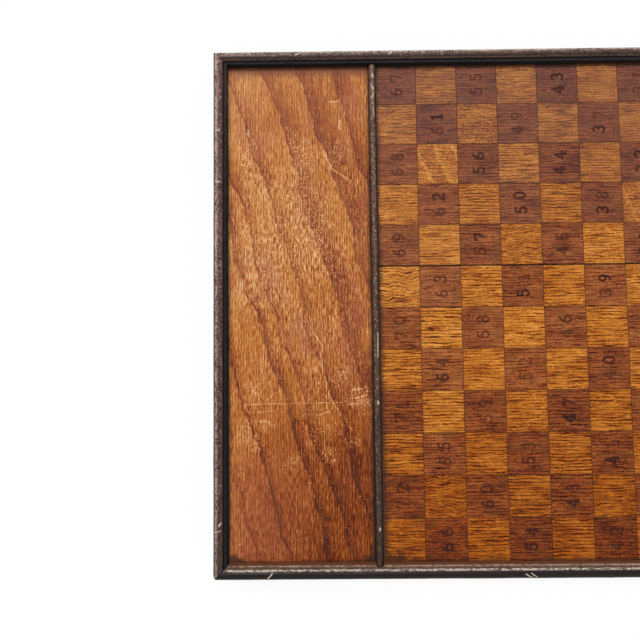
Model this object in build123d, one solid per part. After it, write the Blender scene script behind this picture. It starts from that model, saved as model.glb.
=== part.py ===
"""Draughts board with a bead-moulded frame, two side trays and an inlaid field of oak squares.

Millimetres. +X runs along the board's long side, +Y towards its rear edge and +Z up out of the
playing surface. The origin is at the middle of the underside of the cleats that the board rests on.
"""

from build123d import *
import math
import os

# Playing field
columns = 12
rows = 12
square_side = 38.1
square_thickness = 4.0
glue_line = 0.15
rear_plank_rows = 5
seam_gap = 0.8

# Side trays
tray_width = 133.35
panel_clearance = 0.3

# Base planks and cleats
plank_thickness = 12.7
cleat_thickness = 9.5
cleat_width = 38.0
cleat_end_inset = 24.0
cleat_bevel = 4.0

# Frame rails: a bead outside, a quirk beside it and a flat fillet inside
rail_bead_width = 9.8
rail_quirk_width = 0.6
rail_quirk_depth = 1.2
rail_fillet_width = 2.3
rail_fillet_rise = 6.0
rail_bead_centre_rise = 3.1
front_corner_radius = 4.5
rear_corner_radius = 1.5
front_mitre_gap = 0.5
rear_mitre_gap = 0.1

# Divider strips: a bead on a strip that is a little wider
divider_bead_width = 6.0
divider_ledge = 0.5
divider_ledge_rise = 1.5
divider_end_clearance = 0.1

# Brads
rail_brad_radius = 0.7
rail_brad_head_radius = 1.2
divider_brad_radius = 0.55
divider_brad_head_radius = 0.9
brad_head_thickness = 0.5
brad_set_depth = 0.4
brad_hole_clearance = 0.05
rail_brad_bite = 12.0
divider_brad_bite = 8.0
long_rail_brad_count = 7
end_rail_brad_inset = 40.0
long_rail_brad_inset = 42.0
divider_brad_count = 5
divider_brad_inset = 20.0

# Slotted countersunk wood screws
screw_radius = 2.1
screw_head_radius = 4.1
screw_head_half_angle = 41.0
screw_head_sink = 0.3
screw_bite = 8.5
screw_point = 3.0
screw_tip_radius = 0.5
screw_slot_width = 1.0
screw_slot_depth = 1.1
screw_slot_turn = 35.0
screw_hole_clearance = 0.05
screw_inset = 45.0
screw_stagger = 9.0

# Sizes that follow from those above
rail_width = rail_bead_width + rail_quirk_width + rail_fillet_width
divider_width = divider_bead_width + 2 * divider_ledge
field_length = columns * square_side
field_depth = rows * square_side + seam_gap
base_length = field_length + 2 * (divider_width + tray_width)
base_depth = field_depth
board_length = base_length + 2 * rail_width
board_depth = base_depth + 2 * rail_width

plank_bottom = cleat_thickness
plank_top = plank_bottom + plank_thickness
surface = plank_top + square_thickness
rail_bead_radius = rail_bead_width / 2
rail_bead_centre = surface + rail_bead_centre_rise
rail_fillet_top = surface + rail_fillet_rise
rail_quirk_bottom = rail_fillet_top - rail_quirk_depth
rail_crest = rail_bead_centre + rail_bead_radius
divider_bead_radius = divider_bead_width / 2
divider_ledge_top = surface + divider_ledge_rise
divider_crest = divider_ledge_top + divider_bead_radius

seam_rear_y = base_depth / 2 - rear_plank_rows * square_side
seam_front_y = seam_rear_y - seam_gap
divider_x = (field_length + divider_width) / 2
tray_x = (field_length + tray_width) / 2 + divider_width
housing_depth = rail_fillet_width + rail_quirk_width
brad_line_z = plank_bottom + plank_thickness / 2

ON_FLOOR = (Align.CENTER, Align.CENTER, Align.MIN)
SIDES = {"left": -1, "right": 1}


def block(x_low, x_high, y_low, y_high, z_low, z_high):
    """A box between two corners."""
    box = Box(x_high - x_low, y_high - y_low, z_high - z_low, align=(Align.MIN,) * 3)
    return Pos(x_low, y_low, z_low) * box


def evenly(count, low, high):
    """Evenly spaced values from low to high."""
    return [low + (high - low) * i / (count - 1) for i in range(count)]


def plank_spans():
    """The y span of the rear plank and of the front plank."""
    return {"rear": (seam_rear_y, base_depth / 2), "front": (-base_depth / 2, seam_front_y)}


# Squares

def square_centre(column, row):
    """Centre of a square; column 0 is the left one and row 0 the rear one."""
    x = (column + 0.5) * square_side - field_length / 2
    y = base_depth / 2 - (row + 0.5) * square_side
    if row >= rear_plank_rows:
        y -= seam_gap
    return x, y


def column_of_squares(column, dark):
    """The dark or the light squares of one column, as separate solids."""
    side = square_side - glue_line
    squares = []
    for row in range(rows):
        if ((column + row) % 2 == 0) == dark:
            x, y = square_centre(column, row)
            squares.append(Pos(x, y, plank_top) * Box(side, side, square_thickness, align=ON_FLOOR))
    return Compound(children=squares)


# Brads and screws

def brad(radius, head_radius, length, clearance=0.0):
    """A brad along -Z with its head's top at the origin; a clearance makes the hole for it."""
    shank = Cylinder(radius + clearance, length, align=(Align.CENTER, Align.CENTER, Align.MAX))
    head_height = brad_head_thickness + clearance
    head = Cylinder(head_radius + clearance, head_height, align=(Align.CENTER, Align.CENTER, Align.MAX))
    if clearance:
        sink = Cylinder(head_radius + clearance, 2 * brad_set_depth, align=ON_FLOOR)
        return shank + head + sink
    return shank + head


def rail_brad(clearance=0.0):
    """A brad that holds a rail to the edge of a plank."""
    length = rail_width - brad_set_depth + rail_brad_bite
    return brad(rail_brad_radius, rail_brad_head_radius, length, clearance)


def divider_brad(clearance=0.0):
    """A brad that holds a divider strip down to a plank."""
    length = divider_crest - plank_top - brad_set_depth + divider_brad_bite
    return brad(divider_brad_radius, divider_brad_head_radius, length, clearance)


def cleat_screw(clearance=0.0):
    """A screw that points up, with its head's face at the origin; a clearance makes its hole."""
    radius = screw_radius + clearance
    head_radius = screw_head_radius + clearance
    cone_height = (head_radius - radius) / math.tan(math.radians(screw_head_half_angle))
    shank_length = cleat_thickness - screw_head_sink + screw_bite - screw_point
    head = Cone(head_radius, radius, cone_height, align=ON_FLOOR)
    shank = Cylinder(radius, shank_length, align=ON_FLOOR)
    point = Pos(0, 0, shank_length) * Cone(radius, screw_tip_radius, screw_point, align=ON_FLOOR)
    screw = head + shank + point
    if clearance:
        sink = Cylinder(head_radius, 2 * screw_head_sink, align=(Align.CENTER, Align.CENTER, Align.MAX))
        return screw + sink
    slot = Box(3 * screw_head_radius, screw_slot_width, screw_slot_depth, align=ON_FLOOR)
    return screw - Rot(0, 0, screw_slot_turn) * slot


def rail_brad_places(rail):
    """Where the brads of one rail go, each with its head outwards."""
    sunk = brad_set_depth
    if rail in ("front", "rear"):
        sign = -1 if rail == "front" else 1
        reach = base_length / 2 - long_rail_brad_inset
        y = sign * (board_depth / 2 - sunk)
        turn = Rot(90 if rail == "front" else -90, 0, 0)
        return [Pos(x, y, brad_line_z) * turn for x in evenly(long_rail_brad_count, -reach, reach)]
    sign = SIDES[rail]
    x = sign * (board_length / 2 - sunk)
    turn = Rot(0, sign * 90, 0)
    ys = [y for low, high in plank_spans().values()
          for y in (low + end_rail_brad_inset, high - end_rail_brad_inset)]
    return [Pos(x, y, brad_line_z) * turn for y in ys]


def divider_brad_places(side):
    """Where the brads of one divider strip go."""
    reach = base_depth / 2 - divider_brad_inset
    z = divider_crest - brad_set_depth
    return [Pos(SIDES[side] * divider_x, y, z) for y in evenly(divider_brad_count, -reach, reach)]


def cleat_screw_places(side):
    """Where the screws of one cleat go: two to a plank, staggered about the cleat's middle."""
    places = []
    for low, high in plank_spans().values():
        for y, shift in ((low + screw_inset, -screw_stagger), (high - screw_inset, screw_stagger)):
            places.append(Pos(SIDES[side] * divider_x + shift, y, screw_head_sink))
    return places


def group(piece, places):
    """Copies of one piece at several places, as separate solids."""
    return Compound(children=[place * piece for place in places])


def drill(solid, tool, places):
    """A solid with the same hole cut at several places."""
    for place in places:
        solid -= place * tool
    return solid


# Rails

def rail_section():
    """The moulding's section, with x inwards from the outer face and y up."""
    web = Pos(0, plank_bottom) * Rectangle(
        rail_bead_width, rail_bead_centre - plank_bottom, align=(Align.MIN, Align.MIN))
    bead = Pos(rail_bead_radius, rail_bead_centre) * Circle(rail_bead_radius)
    under_quirk = Pos(0, plank_bottom) * Rectangle(
        rail_width, rail_quirk_bottom - plank_bottom, align=(Align.MIN, Align.MIN))
    outside_bead = Rectangle(rail_bead_radius, 2 * rail_crest, align=(Align.MIN, Align.MIN))
    inner_fillet = Pos(rail_width, plank_bottom) * Rectangle(
        rail_fillet_width, rail_fillet_top - plank_bottom, align=(Align.MAX, Align.MIN))
    core = under_quirk - outside_bead
    return web + bead + core + inner_fillet


def board_outline():
    """The board's outline from above, as a tall block with its corners rounded."""
    outline = Box(board_length, board_depth, 2 * rail_crest, align=ON_FLOOR)
    corners = outline.edges().filter_by(Axis.Z).sort_by(Axis.Y)
    outline = fillet(corners[:2], front_corner_radius)
    corners = outline.edges().filter_by(Axis.Z).sort_by(Axis.Y)
    return fillet(corners[-2:], rear_corner_radius)


def mitred(length, depth, near_gap, far_gap):
    """A tall trapezoid inwards from the y = 0 edge, its ends on the mitres less half of each gap."""
    near = near_gap / math.sqrt(2)
    far = far_gap / math.sqrt(2)
    half = length / 2
    points = [(-half + near, 0), (half - far, 0), (half - far - depth, depth), (-half + near + depth, depth)]
    return extrude(make_face(Polyline(*points, close=True)), 2 * rail_crest)


def moulding(length, near_gap, far_gap):
    """A rail along X with its outer face on y = 0, its body towards +Y and mitred ends."""
    section = Plane((-length / 2, 0, 0), x_dir=(0, 1, 0), z_dir=(1, 0, 0)) * rail_section()
    return extrude(section, length) & mitred(length, rail_width, near_gap, far_gap)


def frame_rail(rail):
    """One rail in its place, with its corners rounded, its brad holes and its notches for the dividers."""
    if rail == "front":
        body = Pos(0, -board_depth / 2) * moulding(board_length, front_mitre_gap, front_mitre_gap)
    elif rail == "rear":
        body = Pos(0, board_depth / 2) * Rot(0, 0, 180) * moulding(
            board_length, rear_mitre_gap, rear_mitre_gap)
    elif rail == "left":
        body = Pos(-board_length / 2, 0) * Rot(0, 0, -90) * moulding(
            board_depth, rear_mitre_gap, front_mitre_gap)
    else:
        body = Pos(board_length / 2, 0) * Rot(0, 0, 90) * moulding(
            board_depth, front_mitre_gap, rear_mitre_gap)
    body = body & board_outline()
    if rail == "front":
        for side in SIDES:
            body -= divider_housing(side)
    return drill(body, rail_brad(brad_hole_clearance), rail_brad_places(rail))


def divider_housing(side):
    """The notch in the front rail's fillet that takes the end of a divider strip."""
    middle = SIDES[side] * divider_x
    half = divider_width / 2 + divider_end_clearance
    inner_face = -base_depth / 2
    return block(middle - half, middle + half, inner_face - housing_depth, inner_face,
                 plank_top, 2 * rail_crest)


# Dividers, trays, planks and cleats

def divider_strip(side):
    """A divider strip from the rear rail into its housing in the front rail, with its brad holes."""
    rear_end = base_depth / 2 - divider_end_clearance
    front_end = -base_depth / 2 - housing_depth + divider_end_clearance
    section = Pos(0, plank_top) * Rectangle(
        divider_width, divider_ledge_top - plank_top, align=(Align.CENTER, Align.MIN))
    section += Pos(0, divider_ledge_top) * Circle(divider_bead_radius)
    middle = SIDES[side] * divider_x
    plane = Plane((middle, rear_end, 0), x_dir=(1, 0, 0), z_dir=(0, -1, 0))
    strip = extrude(plane * section, rear_end - front_end)
    return drill(strip, divider_brad(brad_hole_clearance), divider_brad_places(side))


def tray_panel(side):
    """The floor of one tray, one board laid across both planks."""
    width = tray_width - 2 * panel_clearance
    depth = base_depth - 2 * panel_clearance
    return Pos(SIDES[side] * tray_x, 0, plank_top) * Box(width, depth, square_thickness, align=ON_FLOOR)


def base_plank(name):
    """One plank of the base, with the holes for every brad and screw that enters it."""
    low, high = plank_spans()[name]
    plank = block(-base_length / 2, base_length / 2, low, high, plank_bottom, plank_top)
    for rail in (name, "left", "right"):
        places = [p for p in rail_brad_places(rail) if rail == name or low < p.position.Y < high]
        plank = drill(plank, rail_brad(brad_hole_clearance), places)
    for side in SIDES:
        brads = [p for p in divider_brad_places(side) if low < p.position.Y < high]
        plank = drill(plank, divider_brad(brad_hole_clearance), brads)
        screws = [p for p in cleat_screw_places(side) if low < p.position.Y < high]
        plank = drill(plank, cleat_screw(screw_hole_clearance), screws)
    return plank


def cleat(side):
    """A cleat across the underside of both planks, with bevelled ends and its screw holes."""
    length = base_depth - 2 * cleat_end_inset
    bar = Box(cleat_width, length, cleat_thickness, align=ON_FLOOR)
    ends = bar.edges().filter_by(Axis.X).group_by(Axis.Z)[0]
    bar = Pos(SIDES[side] * divider_x, 0, 0) * chamfer(ends, cleat_bevel)
    return drill(bar, cleat_screw(screw_hole_clearance), cleat_screw_places(side))


def nodes():
    """Every node's name and shape."""
    made = {}
    for rail in ("front", "rear", "left", "right"):
        made[f"frame_rail_{rail}"] = frame_rail(rail)
        made[f"rail_brads_{rail}"] = group(rail_brad(), rail_brad_places(rail))
    for plank in ("front", "rear"):
        made[f"base_plank_{plank}"] = base_plank(plank)
    for side in SIDES:
        made[f"divider_strip_{side}"] = divider_strip(side)
        made[f"divider_brads_{side}"] = group(divider_brad(), divider_brad_places(side))
        made[f"tray_panel_{side}"] = tray_panel(side)
        made[f"cleat_{side}"] = cleat(side)
        made[f"cleat_screws_{side}"] = group(cleat_screw(), cleat_screw_places(side))
    for column in range(columns):
        made[f"dark_squares_column_{column + 1:02d}"] = column_of_squares(column, True)
        made[f"light_squares_column_{column + 1:02d}"] = column_of_squares(column, False)
    return made


os.makedirs("parts", exist_ok=True)
for name, shape in nodes().items():
    export_step(shape, f"parts/{name}.step")
print(f"board {board_length:.2f} x {board_depth:.2f} x {rail_crest:.2f} mm, surface at {surface:.2f} mm")
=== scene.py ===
"""Draughts board with two side trays: the worn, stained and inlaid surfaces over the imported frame.

Metres. +X runs along the board's long side, +Y towards its rear edge and +Z up out of the playing
surface. Millimetres appear only inside the finishes, whose patterns are drawn at that scale.
"""

from __future__ import annotations

import logging
import math
import random
from dataclasses import dataclass, field
from enum import Enum
from functools import cache
from typing import Sequence

import bmesh
import bpy
import numpy as np
from mathutils import Matrix, Vector, geometry


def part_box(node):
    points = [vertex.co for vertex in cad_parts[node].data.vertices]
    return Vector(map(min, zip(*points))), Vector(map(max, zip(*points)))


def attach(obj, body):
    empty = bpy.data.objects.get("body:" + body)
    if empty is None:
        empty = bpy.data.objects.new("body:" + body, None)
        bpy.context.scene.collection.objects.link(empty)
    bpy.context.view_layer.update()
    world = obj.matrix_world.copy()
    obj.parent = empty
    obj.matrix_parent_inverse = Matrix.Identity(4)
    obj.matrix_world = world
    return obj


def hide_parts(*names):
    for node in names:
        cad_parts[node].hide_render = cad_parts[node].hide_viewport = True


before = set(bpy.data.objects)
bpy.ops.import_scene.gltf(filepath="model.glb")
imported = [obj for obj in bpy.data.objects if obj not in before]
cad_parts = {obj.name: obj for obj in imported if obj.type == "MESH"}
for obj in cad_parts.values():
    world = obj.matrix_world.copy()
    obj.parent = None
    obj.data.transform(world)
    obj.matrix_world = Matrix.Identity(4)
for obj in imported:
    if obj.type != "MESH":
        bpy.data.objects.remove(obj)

MM = 0.001
PER_METRE = 1000.0
BODY = "root"
SIDES = {"left": -1.0, "right": 1.0}
FINE_SPACING = 0.5 * MM
WAVER_PER_METRE = 38.0
WAVER_SEED_STEP = 3.7
STROKE_PAST_END = 0.7
SAME_PLACE = 1e-6
log = logging.getLogger("board")

Triple = tuple[float, float, float]
Point = tuple[float, float]
Colour = tuple[float, float, float, float]
Tree, Mesh, Material = bpy.types.NodeTree, bpy.types.Mesh, bpy.types.Material
BMesh = bmesh.types.BMesh


def colour(*channels: int) -> Colour:
    """A display colour made linear.

    Args:
        channels: Red, green and blue, from 0 to 255.

    Returns:
        The linear colour with full alpha.
    """
    shares = [channel / 255 for channel in channels]
    return *(s / 12.92 if s <= 0.04045 else ((s + 0.055) / 1.055) ** 2.4 for s in shares), 1.0


def each(kind: type, *rows: tuple) -> tuple:
    """One object of a kind from every row of values."""
    return tuple(kind(*row) for row in rows)


class Value:
    """A node's output that counts like a number or a vector: each step with it adds a node."""

    def __init__(self, graph: Graph, socket: bpy.types.NodeSocket) -> None:
        """Keeps an output of one of the graph's nodes."""
        self.graph, self.socket = graph, socket

    def math(self, operation: str, *others: Number, clamp: bool = False) -> Value:
        """A Math node's result from this value and the others."""
        return self.graph.math(operation, self, *others, clamp=clamp)

    def __add__(self, other: Number) -> Value:
        """The sum of both."""
        return self.math("ADD", other)

    def __sub__(self, other: Number) -> Value:
        """This value less the other."""
        return self.math("SUBTRACT", other)

    def __rsub__(self, other: float) -> Value:
        """A number less this value."""
        return self.graph.math("SUBTRACT", other, self)

    def __mul__(self, other: Number) -> Value:
        """The product of both."""
        return self.math("MULTIPLY", other)

    def __truediv__(self, other: Number) -> Value:
        """This value over the other."""
        return self.math("DIVIDE", other)

    def __abs__(self) -> Value:
        """The value without its sign."""
        return self.math("ABSOLUTE")

    __radd__, __rmul__ = __add__, __mul__

    def most(self, other: Number) -> Value:
        """The larger of both."""
        return self.math("MAXIMUM", other)

    def vector(self, operation: str, other: Value | Triple = (0.0, 0.0, 0.0), output: int = 0) -> Value:
        """A Vector Math node's result: its vector is output 0 and its number output 1."""
        return self.graph.out("ShaderNodeVectorMath", {0: self, 1: other}, output, operation=operation)

    def scaled(self, share: Value) -> Value:
        """This vector times a number."""
        return self.graph.out("ShaderNodeVectorMath", {0: self, 3: share}, operation="SCALE")

    def parts(self) -> list[Value]:
        """The x, y and z of this vector."""
        node = self.graph.node("ShaderNodeSeparateXYZ", {0: self})
        return [Value(self.graph, socket) for socket in node.outputs]

    def noise(self, stretch: Triple, detail: float = 2.0, roughness: float = 0.5,
              distortion: float = 0.0, output: int = 0) -> Value:
        """Noise from 0 to 1 at this point, with features about one unit wide after the stretch.

        Args:
            stretch: Features per unit along each axis.
            detail: How many octaves are added.
            roughness: How strong the finer octaves are.
            distortion: How far the pattern is swirled.
            output: 0 for a number and 1 for a vector.

        Returns:
            The noise.
        """
        inputs = {"Vector": self.vector("MULTIPLY", stretch), "Scale": 1.0, "Detail": detail,
                  "Roughness": roughness, "Distortion": distortion}
        return self.graph.out("ShaderNodeTexNoise", inputs, output)

    def remap(self, low: Number, high: Number, to_low: Number = 0.0, to_high: Number = 1.0,
              kind: str = "SMOOTHSTEP") -> Value:
        """This value carried from one range to another and held at its ends."""
        inputs = {0: self, 1: low, 2: high, 3: to_low, 4: to_high}
        return self.graph.out("ShaderNodeMapRange", inputs, interpolation_type=kind)

    def blend(self, under: Value | Colour, over: Value | Colour, mode: str = "MIX") -> Value:
        """Two colours mixed, with this value as the share of the second."""
        return self.graph.out("ShaderNodeMix", {0: self, 6: under, 7: over}, 2, data_type="RGBA",
                              blend_type=mode, clamp_factor=True)

    def ramp(self, stops: Sequence[tuple[float, Colour]]) -> Value:
        """The colour that a ramp has at this value.

        Args:
            stops: The ramp's places, each with its colour.

        Returns:
            The colour.
        """
        node = self.graph.node("ShaderNodeValToRGB", {0: self})
        elements = node.color_ramp.elements
        while len(elements) < len(stops):
            elements.new(0.5)
        for element, (place, shade) in zip(elements, stops):
            element.position, element.color = place, shade
        return Value(self.graph, node.outputs[0])


Number = float | Value


class Graph:
    """A node tree built by plain calls."""

    def __init__(self, tree: Tree, owner: Material | None = None) -> None:
        """Starts on a tree, which is emptied, and keeps the material that it belongs to."""
        self.tree, self.owner = tree, owner
        tree.nodes.clear()

    def node(self, kind: str, inputs: dict[int | str, object], **settings: object) -> bpy.types.Node:
        """Adds a node, sets it and feeds its inputs.

        Args:
            kind: The node's type name.
            inputs: Numbers, vectors, colours or values by input name or number.
            settings: The node's own properties.

        Returns:
            The node.
        """
        node = self.tree.nodes.new(kind)
        for name, value in settings.items():
            setattr(node, name, value)
        for key, value in inputs.items():
            if isinstance(value, Value):
                self.tree.links.new(value.socket, node.inputs[key])
            else:
                node.inputs[key].default_value = value
        return node

    def out(self, kind: str, inputs: dict[int | str, object], output: int | str = 0,
            **settings: object) -> Value:
        """Adds a node and gives one of its outputs."""
        return Value(self, self.node(kind, inputs, **settings).outputs[output])

    def math(self, operation: str, *values: Number, clamp: bool = False) -> Value:
        """A Math node's result."""
        return self.out("ShaderNodeMath", dict(enumerate(values)), operation=operation, use_clamp=clamp)

    def joined(self, x: Number, y: Number, z: Number = 0.0) -> Value:
        """A vector from three values."""
        return self.out("ShaderNodeCombineXYZ", {0: x, 1: y, 2: z})

    def attribute(self, name: str, output: int = 1) -> Value:
        """A named attribute's output: 1 for a vector and 2 for a number."""
        return self.out("ShaderNodeAttribute", {}, output, attribute_name=name)

    def given(self) -> dict[str, Value]:
        """The inputs of a node group, by their names."""
        sockets = self.node("NodeGroupInput", {}).outputs
        return {socket.name: Value(self, socket) for socket in sockets if socket.name}

    def ends(self, last: Value) -> Tree:
        """Closes a node group with its only output."""
        self.node("NodeGroupOutput", {0: last})
        return self.tree


def total(start: Number, *terms: tuple[Value, float, float]) -> Value:
    """A value plus the weighted distance of each term from its middle.

    Args:
        start: The first value.
        terms: For each term its value, its middle and its weight.

    Returns:
        The sum.
    """
    for value, middle, weight in terms:
        start = value.math("MULTIPLY_ADD", weight, -middle * weight) + start
    return start


@dataclass(frozen=True)
class Mark:
    """A scratch, nick or smear from one point of a surface to another, in millimetres."""

    x: float
    y: float
    end_x: float
    end_y: float
    width: float
    strength: float = 1.0


@dataclass(frozen=True)
class Rub:
    """A patch of fine scratches: its middle and half sizes in millimetres, and its strength."""

    x: float
    y: float
    half_x: float
    half_y: float
    strength: float


def scratches(place: Value, marks: Sequence[Mark], low: float, high: float, wander: float) -> Value:
    """A mask of broken, slightly wandering scratches along the given marks.

    Args:
        place: The surface point in millimetres.
        marks: The scratches.
        low: The noise below which nothing shows.
        high: The noise above which a scratch shows in full.
        wander: How many millimetres a scratch strays from its line.

    Returns:
        The mask, from 0 to 1.
    """
    drift = place.noise((0.16, 0.16, 0.0), 3.0, output=1).vector("SUBTRACT", (0.5, 0.5, 0.5))
    place = place.vector("ADD", drift.vector("MULTIPLY", (wander, wander, 0.0)))
    found: Number = 0.0
    for mark in marks:
        inputs = {"Place": place, "Start": (mark.x, mark.y, 0.0), "End": (mark.end_x, mark.end_y, 0.0),
                  "Width": mark.width, "Strength": mark.strength}
        found = place.graph.out("ShaderNodeGroup", inputs, node_tree=scratch_group()).most(found)
    return found * place.noise((0.5, 0.42, 0.0), 3.0, 0.75).remap(low, high)


def group_tree(name: str, kind: str, inputs: dict[str, str], output: str) -> Graph:
    """An empty node group.

    Args:
        name: The group's name.
        kind: Its tree type.
        inputs: Socket kinds by input name.
        output: The socket kind of its output.

    Returns:
        The graph.
    """
    tree = bpy.data.node_groups.new(name, kind)
    for label, socket in inputs.items():
        tree.interface.new_socket(label, in_out="INPUT", socket_type=f"NodeSocket{socket}")
    tree.interface.new_socket("Result", in_out="OUTPUT", socket_type=f"NodeSocket{output}")
    return Graph(tree)


@cache
def scratch_group() -> Tree:
    """The node group that turns the distance from one line into a mask.

    Returns:
        The group, made on the first call.
    """
    inputs = {"Place": "Vector", "Start": "Vector", "End": "Vector", "Width": "Float", "Strength": "Float"}
    graph = group_tree("scratch mark", "ShaderNodeTree", inputs, "Float")
    given = graph.given()
    reach = given["Place"].vector("MULTIPLY", (1.0, 1.0, 0.0)).vector("SUBTRACT", given["Start"])
    line = given["End"].vector("SUBTRACT", given["Start"])
    along, length = (v.vector("DOT_PRODUCT", line, 1) for v in (reach, line))
    foot = line.scaled(along.math("DIVIDE", length, clamp=True))
    gap = reach.vector("SUBTRACT", foot).vector("LENGTH", output=1)
    return graph.ends(gap.remap(0.0, given["Width"], 1.0, 0.0) * given["Strength"])


@dataclass(frozen=True, kw_only=True)
class Finish:
    """What every finish shares: a name, a gloss and the two ends of its node tree."""

    name: str
    roughness: float
    specular: float = 0.4
    seed: float = 0.0
    strides: Point = (137.0, 71.0)

    def strewn(self, place: Value) -> Value:
        """The point moved by the finish's seed, so that no two pieces share their pattern."""
        return place.vector("ADD", (self.seed * self.strides[0], self.seed * self.strides[1], 0.0))

    def start(self, turn: float = 0.0, shift: Triple = (0.0, 0.0, 0.0)) -> Value:
        """Opens the material's tree.

        Args:
            turn: The angle in radians by which the pattern is turned about Z.
            shift: The point in metres that becomes the pattern's middle.

        Returns:
            The surface point in millimetres, in the pattern's own frame.
        """
        material = bpy.data.materials.new(self.name)
        material.use_nodes = True
        graph = Graph(material.node_tree, material)
        centred = graph.out("ShaderNodeTexCoord", {}, "Object").vector("SUBTRACT", shift)
        return graph.out("ShaderNodeMapping", {"Vector": centred, "Rotation": (0.0, 0.0, -turn),
                                               "Scale": (PER_METRE,) * 3})

    def close(self, base: Value, roughness: Number, height: Value, depth: float,
              metallic: float = 0.0) -> Material:
        """Ends the tree in a shader.

        Args:
            base: Base colour.
            roughness: Roughness.
            height: What raises the surface, from 0 to 1.
            depth: How many millimetres a height of 1 stands for.
            metallic: Whether the surface is metal.

        Returns:
            The material.
        """
        graph = base.graph
        bump = graph.out("ShaderNodeBump", {"Height": height, "Distance": depth * MM, "Strength": 1.0})
        shader = graph.out("ShaderNodeBsdfPrincipled", {
            "Base Color": base, "Roughness": roughness, "Specular IOR Level": self.specular,
            "Metallic": metallic, "Normal": bump})
        graph.node("ShaderNodeOutputMaterial", {"Surface": shader})
        return graph.owner


@dataclass(frozen=True)
class Wear:
    """Where a moulding is handled and where light and shade are painted on it, in millimetres
    inwards from its outer edge.

    Each pair gives the strength at the moulding's -X and +X end in its own frame, except for
    fade, which says where the inner rubbing pales. The band is rubbing and also a painted
    highlight where the light falls on the bead; lower inner and outer strengths paint a side as
    shaded; the shelf paints the fillet and inner wall lit or shaded; the lip is a painted highlight
    line; the quirk darkens the groove, partly its stain and partly painted shade; the wall paints
    the inner wall as lit.
    """

    at: float
    half: float
    band: Point
    inner: Point
    outer: Point
    fade: Point
    shelf: Point = (0.0, 0.0)
    lip: float = 0.0
    quirk: float = 1.0
    mitre: Point = (0.0, 0.0)
    wall: float = 0.0


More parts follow.
